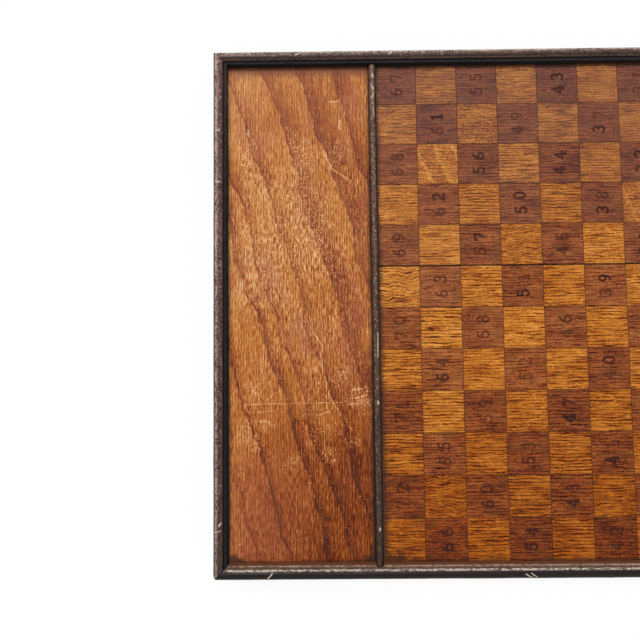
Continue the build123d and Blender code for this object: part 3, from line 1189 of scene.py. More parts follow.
@dataclass(frozen=True)
class BoardSizes:
    """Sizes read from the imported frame."""

    length: float
    depth: float
    floor: float
    surface: float
    rail_width: float
    rail_bottom: float
    crest: float
    divider_x: float
    divider_width: float
    seam: float

    @classmethod
    def read(cls) -> BoardSizes:
        """Measures the frame's nodes.

        Returns:
            The sizes.
        """
        rail_low, rail_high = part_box("frame_rail_front")
        rear_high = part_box("frame_rail_rear")[1]
        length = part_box("frame_rail_right")[1][0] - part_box("frame_rail_left")[0][0]
        panel_low, panel_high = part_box("tray_panel_left")
        strip_low, strip_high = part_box("divider_strip_right")
        front_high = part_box("base_plank_front")[1]
        rear_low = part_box("base_plank_rear")[0]
        return cls(
            length=length, depth=rear_high[1] - rail_low[1], floor=panel_low[2], surface=panel_high[2],
            rail_width=rail_high[1] - rail_low[1], rail_bottom=rail_low[2], crest=rail_high[2],
            divider_x=(strip_low[0] + strip_high[0]) / 2, divider_width=strip_high[0] - strip_low[0],
            seam=rear_low[1] - front_high[1])


@dataclass(frozen=True)
class Nick:
    """A dent in a moulding: its place from the moulding's middle and outer edge, in millimetres."""

    along: float
    inward: float
    length: float = 2.6
    width: float = 0.7
    depth: float = 0.5
    turn: float = 30.0

    def lens(self, top: float) -> BMesh:
        """The shape that cuts the dent.

        Args:
            top: The surface's height in metres.

        Returns:
            The cutter.
        """
        place = Matrix.Translation((self.along * MM, self.inward * MM, top))
        place = place @ Matrix.Rotation(math.radians(self.turn), 4, "Z")
        radii = (self.length * MM / 2, self.width * MM / 2, self.depth * MM, 1.0)
        made = bmesh.new()
        bmesh.ops.create_icosphere(made, subdivisions=2, radius=1.0, matrix=place @ Matrix.Diagonal(radii))
        return made


@dataclass
class Moulding:
    """What rails and dividers share: a section swept along X, cut, mitred, worn and put in place."""

    sizes: BoardSizes
    edge_radius: float = 0.5 * MM
    spacing: float = 2.5 * MM
    end_zone: float = 16.0 * MM
    waver: float = 0.5 * MM
    brad_hole: float = 1.25 * MM
    brad_sink: float = 0.4 * MM
    hole_sides: int = 20
    bead_steps: int = 22
    stain_seed: float = 1.0
    waver_seed: float = 0.0

    def section(self) -> list[Point]:
        """The outline that is swept, which each kind of moulding draws for itself."""
        raise NotImplementedError

    def shaped(self, span: Point, half: float, cutters: Sequence[BMesh], material: Material,
               mitre: float, seed: float) -> Mesh:
        """One moulding in its own frame.

        Args:
            span: Where along X it begins and ends.
            half: Half of its length before its ends are drawn in.
            cutters: What is taken out of it.
            material: Its material.
            mitre: 1 for mitred ends and 0 for square ones.
            seed: Which piece of noise it wavers with.

        Returns:
            The mesh.
        """
        outline = [(-inward, -rise, 0.0) for inward, rise in self.section()]
        ring = [(i, (i + 1) % len(outline)) for i in range(len(outline))]
        section = add_object("section", mesh_from("section", outline, ring))
        middle, reach = sum(span) / 2, (span[1] - span[0]) / 2
        places = [(middle + x, 0, 0) for x in stations(reach, self.end_zone, self.spacing)]
        line = mesh_from("line", places, [(i, i + 1) for i in range(len(places) - 1)])
        mesh = grown(moulding_tree(), line, {"Section": section, "Material": material})
        bpy.data.objects.remove(section)
        mesh = carved(outward(mesh), cutters)
        return grown(weather_tree(), mesh, {"Half": half, "End": self.end_zone, "Mitre": mitre,
                                            "Waver": self.waver, "Seed": seed, "Material": material})

    def hole(self, spot: Matrix) -> BMesh:
        """A round hole over a brad.

        Args:
            spot: Where its middle lies and which way it runs.

        Returns:
            The cutter.
        """
        made = bmesh.new()
        bmesh.ops.create_cone(made, cap_ends=True, segments=self.hole_sides, radius1=self.brad_hole,
                              radius2=self.brad_hole, depth=2 * (self.brad_sink + self.edge_radius),
                              matrix=spot)
        return made


@dataclass
class FrameRails(Moulding):
    """The four mitred rails: a bead outside, a quirk beside it and a flat fillet inside."""

    bead_width: float = 9.8 * MM
    bead_centre_drop: float = 4.9 * MM
    quirk_width: float = 0.6 * MM
    quirk_drop: float = 3.2 * MM
    fillet_drop: float = 2.0 * MM
    corner: dict[str, float] = field(default_factory=lambda: {"front": 6.0 * MM, "rear": 1.5 * MM})
    gap: dict[str, float] = field(default_factory=lambda: {"front": 0.5 * MM, "rear": 0.1 * MM})
    housing_depth: float = 2.9 * MM
    housing_clearance: float = 0.1 * MM
    housing_bulge: float = 0.6
    housing_steps: int = 12
    housing_past: Triple = (0.2 * MM, 2.0 * MM, 1.0 * MM)
    turns: dict[str, float] = field(default_factory=lambda: {
        "front": 0.0, "rear": math.pi, "left": -math.pi / 2, "right": math.pi / 2})
    meets: dict[str, tuple[str, str]] = field(default_factory=lambda: {
        "front": ("front", "front"), "rear": ("rear", "rear"), "left": ("rear", "front"),
        "right": ("front", "rear")})
    # Per rail rubbing together with painted light: the front rail's highlight band near its inner edge, its
    # dark outer side and lit fillet and inner wall, the rear rail's lit outer side, and side rails paler
    # towards the rear.
    wear: dict[str, Wear] = field(default_factory=lambda: {
        "front": Wear(9.0, 0.5, (1.0, 1.0), (0.5, 0.5), (0.02, 0.02), (9.6, 10.2), (0.9, 0.9), 0.0, 0.0,
                      (1.0, 1.0), 0.9),
        "rear": Wear(1.9, 1.0, (1.2, 0.8), (0.75, 0.9), (0.8, 0.8), (2.8, 7.0), (0.1, 0.0), 0.7),
        "left": Wear(3.1, 0.9, (1.0, 0.6), (1.0, 0.3), (0.6, 0.3), (8.2, 9.4), (0.12, -0.2), 0.1, 1.0,
                     (0.0, 1.0)),
        "right": Wear(3.1, 0.9, (0.5, 0.9), (0.3, 0.9), (0.3, 0.6), (8.2, 9.4), (0.0, 0.1), 0.1, 1.0,
                      (1.0, 0.0))})
    # The front rail's brighter rub is its painted highlight, and its paler ledge its painted lit fillet and
    # inner wall.
    special: dict[str, dict[str, object]] = field(default_factory=lambda: {
        "front": {"ledge": colour(126, 95, 76), "rubbed": colour(216, 198, 184), "specular": 0.14},
        "left": {"wine": colour(132, 84, 78)}, "right": {"wine": colour(132, 84, 78)}, "rear": {}})
    nicks: dict[str, tuple[Nick, ...]] = field(default_factory=lambda: {
        "front": each(Nick, (-338.0, 4.0, 3.4, 0.7, 0.5, 60.0), (-104.0, 3.6, 3.0, 0.6, 0.5, -35.0),
                      (-98.0, 2.8, 3.4, 0.5, 0.5, -40.0), (90.0, 5.0), (210.0, 3.0, 3.0, 0.6)),
        "rear": each(Nick, (300.0, 4.0), (-60.0, 6.0, 2.0)),
        "left": each(Nick, (-166.0, 4.6, 1.4, 0.9, 0.45, 80.0), (-118.0, 4.8, 1.2, 1.0, 0.4, 10.0),
                     (178.0, 6.4, 2.2, 0.8, 0.6, 45.0), (185.0, 4.6, 2.8, 0.6, 0.4, 70.0)),
        "right": each(Nick, (-120.0, 4.2), (70.0, 5.4, 2.0, 0.8, 0.5, 60.0))})
    pale_marks: dict[str, tuple[Mark, ...]] = field(default_factory=lambda: {
        "front": each(Mark, (-328.6, 6.8, -332.5, 2.4, 0.8), (-104.0, 5.2, -98.0, 2.0, 0.8),
                      (-99.0, 5.8, -94.0, 3.0, 0.7), (120.0, 5.0, 124.0, 3.0, 0.8)),
        "left": each(Mark, (-166.5, 3.4, -166.0, 6.0, 1.2), (-118.0, 3.6, -117.6, 6.4, 1.3),
                     (-60.0, 2.6, -56.0, 3.2, 0.9), (191.0, 7.4, 193.5, 5.8, 1.1),
                     (197.5, 7.0, 199.5, 2.0, 0.9, 0.6)),
        "rear": each(Mark, (300.0, 3.4, 304.0, 4.4, 0.9), (214.0, 3.0, 216.5, 4.6, 1.0)),
        "right": each(Mark, (-120.0, 4.0, -119.0, 6.0, 1.1), (70.0, 4.6, 73.0, 6.4, 1.0))})

    def section(self) -> list[Point]:
        """The moulding's outline: x inwards from the outer face and y up.

        Returns:
            The outline's points, anticlockwise from the inner bottom edge.
        """
        sizes = self.sizes
        bottom, width, edge = sizes.rail_bottom, sizes.rail_width, self.edge_radius
        radius = self.bead_width / 2
        centre = (radius, sizes.crest - self.bead_centre_drop)
        fillet, quirk = sizes.crest - self.fillet_drop, sizes.crest - self.quirk_drop
        land = self.bead_width + self.quirk_width
        start = math.degrees(math.asin((quirk - centre[1]) / radius))
        small = edge / 2
        outline = [(width, bottom), *arc((width - edge, fillet - edge), (edge, edge), 0, 90, 4)]
        outline += arc((land + small, fillet - small), (small, small), 90, 180, 3)
        outline += [(land, quirk), *arc(centre, (radius, radius), start, 180, self.bead_steps)]
        return outline + arc((edge, bottom + edge), (edge, edge), 180, 270, 4)

    def rounded(self, mesh: Mesh, half: float, corners: Point) -> None:
        """Rounds the outer corner at each end of a rail.

        Args:
            mesh: The rail along X with its outer face on y = 0, which is changed.
            half: Half of the rail's length at its outer face.
            corners: The radii at -X and at +X.
        """
        places = np.empty(len(mesh.vertices) * 3)
        mesh.vertices.foreach_get("co", places)
        places = places.reshape(-1, 3)
        for sign, radius in zip((-1, 1), corners):
            out = np.stack([sign * places[:, 0] - (half - radius), radius - places[:, 1]], 1)
            gap = np.linalg.norm(out, axis=1)
            beyond = (out > 0).all(1) & (gap > radius)
            pulled = out[beyond] * (radius / gap[beyond])[:, None]
            places[beyond, 0] = sign * (pulled[:, 0] + half - radius)
            places[beyond, 1] = radius - pulled[:, 1]
        mesh.vertices.foreach_set("co", places.ravel())

    def cutters(self, rail: str) -> list[BMesh]:
        """What is taken out of a rail: brad holes, housings for the dividers and nicks.

        Args:
            rail: Which rail.

        Returns:
            The cutters, in the rail's own frame.
        """
        shapes, radius = [], self.bead_width / 2
        for centre in brad_centres(f"rail_brads_{rail}"):
            place = self.frame_of(rail).inverted() @ centre
            spot = Matrix.Translation((place.x, 0.0, place.z)) @ Matrix.Rotation(math.pi / 2, 4, "X")
            shapes.append(self.hole(spot))
        if rail == "front":
            shapes += [self.housing(sign * self.sizes.divider_x) for sign in SIDES.values()]
        for nick in self.nicks[rail]:
            lean = nick.inward * MM - radius
            rise = math.sqrt(max(radius ** 2 - lean ** 2, 0.0))
            shapes.append(nick.lens(self.sizes.crest - radius + rise))
        return shapes

    def housing(self, x: float) -> BMesh:
        """The rounded notch in the front rail's fillet that takes a divider's end.

        It passes the floor, the crest and the rail's inner face a little.

        Args:
            x: Where the divider's middle lies.

        Returns:
            The cutter.
        """
        sizes = self.sizes
        half = sizes.divider_width / 2 + self.housing_clearance
        under, over, inside = self.housing_past
        outer, inner = sizes.rail_width - self.housing_depth, sizes.rail_width + inside
        low, high, bulge = sizes.floor - under, sizes.crest + over, half * self.housing_bulge
        shape = bmesh.new()
        outline = arc((x, outer + bulge), (half, bulge), 180, 360, self.housing_steps)
        outline += [(x + half, inner), (x - half, inner)]
        face = shape.faces.new([shape.verts.new((*p, low)) for p in outline])
        raised = bmesh.ops.extrude_face_region(shape, geom=[face])["geom"]
        bmesh.ops.translate(shape, vec=(0, 0, high - low),
                            verts=[g for g in raised if isinstance(g, bmesh.types.BMVert)])
        bmesh.ops.recalc_face_normals(shape, faces=shape.faces)
        return shape

    def reach(self, rail: str) -> tuple[float, float]:
        """Half of a rail's length, and how far its outer face lies from the board's middle."""
        halves = self.sizes.length / 2, self.sizes.depth / 2
        return halves if rail in ("front", "rear") else halves[::-1]

    def frame_of(self, rail: str) -> Matrix:
        """Where a rail's own frame lies: its outer face's middle, with +Y inwards."""
        turn = Matrix.Rotation(self.turns[rail], 4, "Z")
        return turn @ Matrix.Translation((0.0, -self.reach(rail)[1], 0.0))

    def build(self) -> None:
        """Makes and dresses the four rails."""
        for number, rail in enumerate(self.turns):
            half, place = self.reach(rail)[0], self.frame_of(rail)
            gaps = [self.gap[end] / math.sqrt(2) for end in self.meets[rail]]
            stain = WornStain(name=f"worn_stain_{rail}", seed=self.stain_seed + number, wear=self.wear[rail],
                              marks=self.pale_marks[rail], half_length=half * PER_METRE,
                              width=self.sizes.rail_width * PER_METRE, crest=self.sizes.crest * PER_METRE,
                              **self.special[rail])
            material = stain.build(self.turns[rail], tuple(place.translation))
            mesh = self.shaped((-half + gaps[0], half - gaps[1]), half, self.cutters(rail), material,
                               1.0, self.waver_seed + number)
            self.rounded(mesh, half, [self.corner[end] for end in self.meets[rail]])
            outward(mesh).transform(place)
            finished(f"rail_{rail}", mesh, material, [f"frame_rail_{rail}"])


def brad_centres(node: str) -> list[Vector]:
    """The middle of each loose piece in one of the frame's nodes.

    Args:
        node: The node's name.

    Returns:
        One point for each piece.
    """
    work = bmesh.new()
    work.from_mesh(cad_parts[node].data)
    bmesh.ops.remove_doubles(work, verts=work.verts, dist=0.001 * MM)
    left, centres = set(work.verts), []
    while left:
        group, edge = set(), {left.pop()}
        while edge:
            group |= edge
            edge = {e.other_vert(v) for v in edge for e in v.link_edges} - group
        left -= group
        low, high = (Vector([pick(v.co[i] for v in group) for i in range(3)]) for pick in (min, max))
        centres.append((low + high) / 2)
    work.free()
    return centres


@dataclass
class DividerStrips(Moulding):
    """The two strips between the trays and the field, each with a small bead on top."""

    bead_radius: float = 3.0 * MM
    ledge_rise: float = 1.5 * MM
    edge_radius: float = 0.3 * MM
    spacing: float = 2.0 * MM
    end_zone: float = 8.0 * MM
    rear_clearance: float = 0.1 * MM
    front_reach: float = 2.8 * MM
    waver: float = 0.35 * MM
    brad_hole: float = 0.95 * MM
    hole_sides: int = 16
    bead_steps: int = 18
    stain_seed: float = 11.0
    waver_seed: float = 7.0
    stain_past: float = 3.0
    hollow_rise: float = 0.6
    wine: Colour = colour(134, 92, 68)
    # Rubbing together with painted light: a painted highlight along the crest and a paler rear end.
    wear: Wear = Wear(0.0, 0.4, (0.1, 0.0), (0.8, 0.2), (0.7, 0.35), (3.5, 4.0))
    nicks: tuple[Nick, ...] = each(
        Nick, (-216.0, 0.0, 4.0, 1.4, 0.35, 90.0), (-204.0, 0.4, 3.0, 1.0, 0.3, 80.0),
        (28.0, 0.3, 9.0, 1.2, 0.4, 0.0), (196.0, -0.2, 3.0, 1.2, 0.4, 20.0))
    pale_marks: tuple[Mark, ...] = each(
        Mark, (-221.0, 0.4, -217.5, 0.6, 1.2), (-211.0, -0.8, -206.0, 0.8, 1.2),
        (-203.0, 1.0, -198.0, 0.0, 1.0, 0.8), (-190.0, 0.8, -180.0, 1.0, 0.7, 0.7),
        (22.0, 1.4, 44.0, 1.0, 1.0, 0.8), (84.0, 0.6, 86.0, 0.8, 1.2), (196.0, 0.5, 198.0, 0.2, 1.2))

    def section(self) -> list[Point]:
        """The strip's outline about its middle, anticlockwise.

        Returns:
            The outline's points.
        """
        half, edge = self.sizes.divider_width / 2, self.edge_radius
        ledge = self.sizes.surface + self.ledge_rise
        outline = [(-half, self.sizes.floor), (half, self.sizes.floor)]
        outline += arc((half - edge, ledge - edge), (edge, edge), 0, 90, 3)
        outline += arc((0.0, ledge), (self.bead_radius, self.bead_radius), 0, 180, self.bead_steps)
        return outline + arc((-half + edge, ledge - edge), (edge, edge), 90, 180, 3)

    def build(self) -> None:
        """Makes and dresses both strips."""
        sizes, turn = self.sizes, -math.pi / 2
        inner = sizes.depth / 2 - sizes.rail_width
        rear, front = inner - self.rear_clearance, -inner - self.front_reach
        half, middle = (rear - front) / 2, (rear + front) / 2
        crest = sizes.surface + self.ledge_rise + self.bead_radius
        for number, (side, sign) in enumerate(SIDES.items()):
            place = Matrix.Translation((sign * sizes.divider_x, middle, 0.0)) @ Matrix.Rotation(turn, 4, "Z")
            stain = WornStain(name=f"worn_stain_divider_{side}", seed=self.stain_seed + number,
                              bead_radius=self.bead_radius * PER_METRE, crest=crest * PER_METRE,
                              wine=self.wine, marks=self.pale_marks, wear=self.wear,
                              half_length=half * PER_METRE, bead_centre=0.0,
                              width=sizes.divider_width / 2 * PER_METRE + self.stain_past,
                              hollow_top=(crest - self.bead_radius) * PER_METRE + self.hollow_rise)
            material = stain.build(turn, tuple(place.translation))
            spots = [place.inverted() @ centre for centre in brad_centres(f"divider_brads_{side}")]
            cutters = [self.hole(Matrix.Translation((spot.x, spot.y, crest))) for spot in spots]
            cutters += [nick.lens(crest) for nick in self.nicks]
            mesh = self.shaped((-half, half), half, cutters, material, 0.0, self.waver_seed + number)
            outward(mesh).transform(place)
            finished(f"divider_{side}", mesh, material, [f"divider_strip_{side}"])


@dataclass
class TrayPanels:
    """The floor of each tray: one board with a hand-planed face."""

    spacing: float = 2.0 * MM
    edge_radius: float = 0.3 * MM
    waver: float = 0.12 * MM
    fading: float = 6.0 * MM
    rub_seed: int = 29
    mark_seed: int = 23
    rub_count: int = 10
    mark_count: int = 12
    planing: Point = (40.0 * MM, 90.0 * MM)
    seeds: dict[str, float] = field(default_factory=lambda: {"left": 0.0, "right": 3.0})
    slants: dict[str, float] = field(default_factory=lambda: {"left": 0.31, "right": -0.26})
    left_marks: tuple[Mark, ...] = each(
        Mark, (-51.0, -87.8, 28.0, -86.9, 0.55, 0.8), (-52.0, -95.2, -23.0, -94.4, 0.5, 0.7),
        (-32.3, -85.4, -19.0, -74.5, 0.45, 0.8), (28.0, -87.0, 42.0, -86.0, 0.5, 0.5),
        (47.0, -76.0, 60.0, -74.0, 0.9, 0.8), (49.0, -83.0, 62.0, -80.0, 1.1, 0.8),
        (45.0, -88.0, 61.0, -87.0, 0.9, 0.8), (53.0, -72.0, 57.0, -86.0, 0.8, 0.7),
        (39.3, 176.0, 39.6, 168.0, 1.7, 1.0), (-12.0, 171.5, -8.4, 167.8, 0.8, 0.8),
        (30.0, 194.0, 40.0, 196.0, 1.1, 0.9), (23.6, 148.0, 31.0, 131.0, 1.1, 0.8),
        (31.0, 131.0, 46.4, 119.7, 1.1, 0.9), (23.2, -89.6, 40.9, -120.9, 0.7, 0.6),
        (-56.8, -212.9, -54.6, -212.2, 0.9, 1.0), (-17.9, -222.5, -17.0, -227.4, 0.7, 0.8),
        (-46.9, 168.5, -46.6, 163.0, 2.0, 0.8), (11.6, -22.0, 21.8, -36.0, 0.9, 1.0),
        (21.8, -36.0, 19.0, -45.6, 0.9, 0.9), (19.0, -45.6, 23.3, -67.0, 0.9, 0.9),
        (23.3, -67.0, 26.0, -80.0, 0.8, 0.8), (26.0, -80.0, 34.5, -93.0, 0.8, 0.8),
        (34.5, -93.0, 47.0, -112.0, 0.7, 0.7), (7.0, -10.0, 11.6, -22.0, 0.7, 0.6),
        (17.5, -98.0, 26.0, -94.5, 1.1, 0.8), (-46.0, -103.5, -30.0, -102.5, 0.5, 0.4),
        (-19.0, -74.5, -18.0, -84.0, 0.4, 0.6))
    left_rubs: tuple[Rub, ...] = each(
        Rub, (-40.0, -75.0, 9.0, 9.0, 0.8), (57.0, -84.0, 10.0, 14.0, 1.0), (46.0, -83.0, 9.0, 11.0, 0.9),
        (37.0, -66.0, 9.0, 15.0, 0.8), (48.0, -123.0, 9.0, 6.0, 0.9), (-34.0, -108.0, 10.0, 7.0, 0.8),
        (-52.0, -112.0, 9.0, 12.0, 0.7), (-41.0, -122.0, 7.0, 11.0, 0.7), (-7.0, -140.0, 9.0, 10.0, 0.7),
        (16.0, -98.0, 20.0, 42.0, 0.5), (25.0, -134.0, 10.0, 10.0, 0.9), (3.0, 140.0, 13.0, 24.0, 0.6),
        (38.0, 145.0, 10.0, 12.0, 0.7), (-48.0, 140.0, 11.0, 24.0, 0.6), (-8.0, 70.0, 46.0, 60.0, 0.5))

    def board(self, low: Vector, high: Vector, seed: float) -> Mesh:
        """A board whose face is a fine grid.

        Args:
            low: Its lowest corner.
            high: Its highest corner.
            seed: Which piece of noise its face follows.

        Returns:
            The mesh.
        """
        work, size, middle = bmesh.new(), high - low, (low + high) / 2
        shape = Matrix.Translation((middle.x, middle.y, high.z)) @ Matrix.Diagonal(
            (size.x / 2, size.y / 2, 1.0, 1.0))
        bmesh.ops.create_grid(work, x_segments=round(size.x / self.spacing),
                              y_segments=round(size.y / self.spacing), size=1.0, matrix=shape)
        for vertex in work.verts:
            place = vertex.co
            x, y = place.x / self.planing[0] + seed, place.y / self.planing[1]
            inset = min(place.x - low.x, high.x - place.x, place.y - low.y, high.y - place.y)
            planed = self.waver * (math.sin(2.1 * x + math.sin(1.3 * y)) * math.cos(1.7 * y + x) - 1.0) / 2
            place.z += planed * min(1.0, inset / self.fading)
            if inset < 0.01 * MM:
                place.z -= self.edge_radius
        rim = [edge for edge in work.edges if edge.is_boundary]
        made = bmesh.ops.extrude_edge_only(work, edges=rim)["geom"]
        for vertex in (g for g in made if isinstance(g, bmesh.types.BMVert)):
            vertex.co.z = low.z
        bmesh.ops.contextual_create(work, geom=[g for g in made if isinstance(g, bmesh.types.BMEdge)
                                                and g.is_boundary])
        return outward(mesh_of(work))

    def right_rubs(self) -> tuple[Rub, ...]:
        """Scratched patches of the right tray, strewn with a fixed seed.

        Returns:
            The patches.
        """
        pick = random.Random(self.rub_seed).uniform
        return tuple(Rub(pick(-50, 50), pick(-170, 170), pick(7, 22), pick(8, 34), pick(0.5, 0.9))
                     for _ in range(self.rub_count))

    def right_marks(self) -> tuple[Mark, ...]:
        """Scratches of the right tray, strewn with a fixed seed.

        Returns:
            The scratches.
        """
        pick = random.Random(self.mark_seed).uniform
        marks = []
        for _ in range(self.mark_count):
            x, y, angle, length = pick(-55, 55), pick(-200, 200), pick(-0.6, 0.6), pick(3, 26)
            marks.append(Mark(x, y, x + length * math.cos(angle), y + length * math.sin(angle),
                              pick(0.4, 1.0), pick(0.4, 0.9)))
        return tuple(marks)

    def build(self) -> None:
        """Makes and dresses both panels."""
        strewn = {"left": (self.left_marks, self.left_rubs),
                  "right": (self.right_marks(), self.right_rubs())}
        for side, (marks, rubs) in strewn.items():
            low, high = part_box(f"tray_panel_{side}")
            seed, slant = self.seeds[side], self.slants[side]
            finish = TrayBoard(name=f"tray_board_{side}", seed=seed, slant=slant, marks=marks, rubs=rubs,
                               half_width=(high.x - low.x) / 2 * PER_METRE,
                               half_depth=(high.y - low.y) / 2 * PER_METRE)
            material = finish.build(((low.x + high.x) / 2, (low.y + high.y) / 2, high.z))
            finished(f"tray_{side}", self.board(low, high, seed), material,
                     [f"tray_panel_{side}"])


def bow(centre: Point, radii: Point) -> list[list[Point]]:
    """A closed ring as two strokes, the right half and the left one."""
    return [arc(centre, radii, -95, 95, 9), arc(centre, radii, 85, 275, 9)]


@dataclass(frozen=True)
class Numerals:
    """Punched figures with slab serifs, drawn as strokes in a box 0.62 wide and 1 high."""

    height: float = 11.2 * MM
    pitch: float = 13.6 * MM
    box_width: float = 0.62
    half_strokes: Triple = (0.55 * MM, 0.95 * MM, 1.4 * MM)
    depth: float = 0.3 * MM

    def strokes(self, digit: int) -> list[list[Point]]:
        """The lines of one figure.

        Args:
            digit: The figure, from 0 to 9.

        Returns:
            Its strokes, each a list of points.
        """
        shapes = {
            0: bow((0.31, 0.5), (0.25, 0.46)),
            1: [[(0.33, 0.05), (0.33, 0.96)], [(0.34, 0.95), (0.14, 0.80)], [(0.13, 0.04), (0.53, 0.04)]],
            2: [arc((0.30, 0.70), (0.24, 0.26), 165, -25, 9) + [(0.08, 0.06)], [(0.06, 0.04), (0.57, 0.04)],
                [(0.57, 0.03), (0.57, 0.18)]],
            3: [arc((0.28, 0.73), (0.22, 0.22), 155, -88, 9), arc((0.28, 0.27), (0.26, 0.24), 88, -155, 9)],
            4: [[(0.43, 0.04), (0.43, 0.96)], [(0.42, 0.95), (0.05, 0.32)], [(0.04, 0.31), (0.60, 0.31)],
                [(0.28, 0.04), (0.57, 0.04)]],
            5: [[(0.53, 0.95), (0.13, 0.95)], [(0.14, 0.95), (0.11, 0.54)],
                arc((0.29, 0.32), (0.25, 0.28), 132, -155, 10)],
            6: bow((0.31, 0.28), (0.24, 0.25)) + [arc((0.52, 0.30), (0.45, 0.66), 176, 98, 6)],
            7: [[(0.06, 0.94), (0.57, 0.94)], [(0.57, 0.95), (0.25, 0.04)], [(0.06, 0.95), (0.06, 0.76)]],
            8: bow((0.31, 0.74), (0.20, 0.21)) + bow((0.31, 0.27), (0.25, 0.24)),
        }
        if digit == 9:
            return [[(self.box_width - x, 1.0 - y) for x, y in line] for line in shapes[6]]
        return shapes[digit]

    def lines(self, number: int, middle: Point, jitter: random.Random) -> list[list[list[Point]]]:
        """The strokes of a number about a point, read from the front edge to the rear one.

        Args:
            number: The number, of one or two figures.
            middle: Where its middle lies.
            jitter: What sets each figure a little off its place.

        Returns:
            For each figure, its strokes in metres.
        """
        figures = []
        digits = [int(d) for d in str(number)]
        for place, digit in enumerate(digits):
            rise = (place - (len(digits) - 1) / 2) * self.pitch + jitter.uniform(-0.6, 0.6) * MM
            shift, lean = jitter.uniform(-0.7, 0.7) * MM, math.radians(jitter.uniform(-5, 5))
            turned = []
            for stroke in self.strokes(digit):
                points = []
                for x, y in stroke:
                    u = (x - self.box_width / 2) * self.height
                    v = (y - 0.5) * self.height
                    u, v = u * math.cos(lean) - v * math.sin(lean), u * math.sin(lean) + v * math.cos(lean)
                    points.append((middle[0] - v + shift, middle[1] + u + rise))
                turned.append(points)
            figures.append(turned)
        return figures


def ribbon(points: Sequence[Point], half: float) -> list[Point]:
    """The outline of a stroke of a given half width, anticlockwise.

    Args:
        points: The stroke's line.
        half: Half of its width.

    Returns:
        The outline.
    """
    line = np.array(points)
    steps = np.diff(line, axis=0)
    steps /= np.linalg.norm(steps, axis=1)[:, None]
    heading = np.vstack([steps[:1], steps[:-1] + steps[1:], steps[-1:]])
    heading /= np.linalg.norm(heading, axis=1)[:, None]
    line[0] -= heading[0] * half * STROKE_PAST_END
    line[-1] += heading[-1] * half * STROKE_PAST_END
    aside = np.stack([heading[:, 1], -heading[:, 0]], 1) * half
    return [tuple(p) for p in np.vstack([line + aside, (line - aside)[::-1]])]


def stroke_gap(points: np.ndarray, strokes: Sequence[Sequence[Point]]) -> np.ndarray:
    """How far each point lies from the nearest stroke.

    Args:
        points: The points, one a row.
        strokes: The strokes' lines.

    Returns:
        One distance a point.
    """
    nearest = np.full(len(points), np.inf)
    for stroke in strokes:
        for a, b in zip(np.array(stroke[:-1]), np.array(stroke[1:])):
            line = b - a
            share = np.clip((points - a) @ line / (line @ line), 0.0, 1.0)
            nearest = np.minimum(nearest, np.linalg.norm(points - a - share[:, None] * line, axis=1))
    return nearest


def store(mesh: Mesh, name: str, kind: str, values: Sequence[float]) -> None:
    """Writes a named attribute on a mesh's vertices, vectors one after another."""
    data = mesh.attributes.new(name, kind, "POINT").data
    data.foreach_set("value" if kind == "FLOAT" else "vector", values)


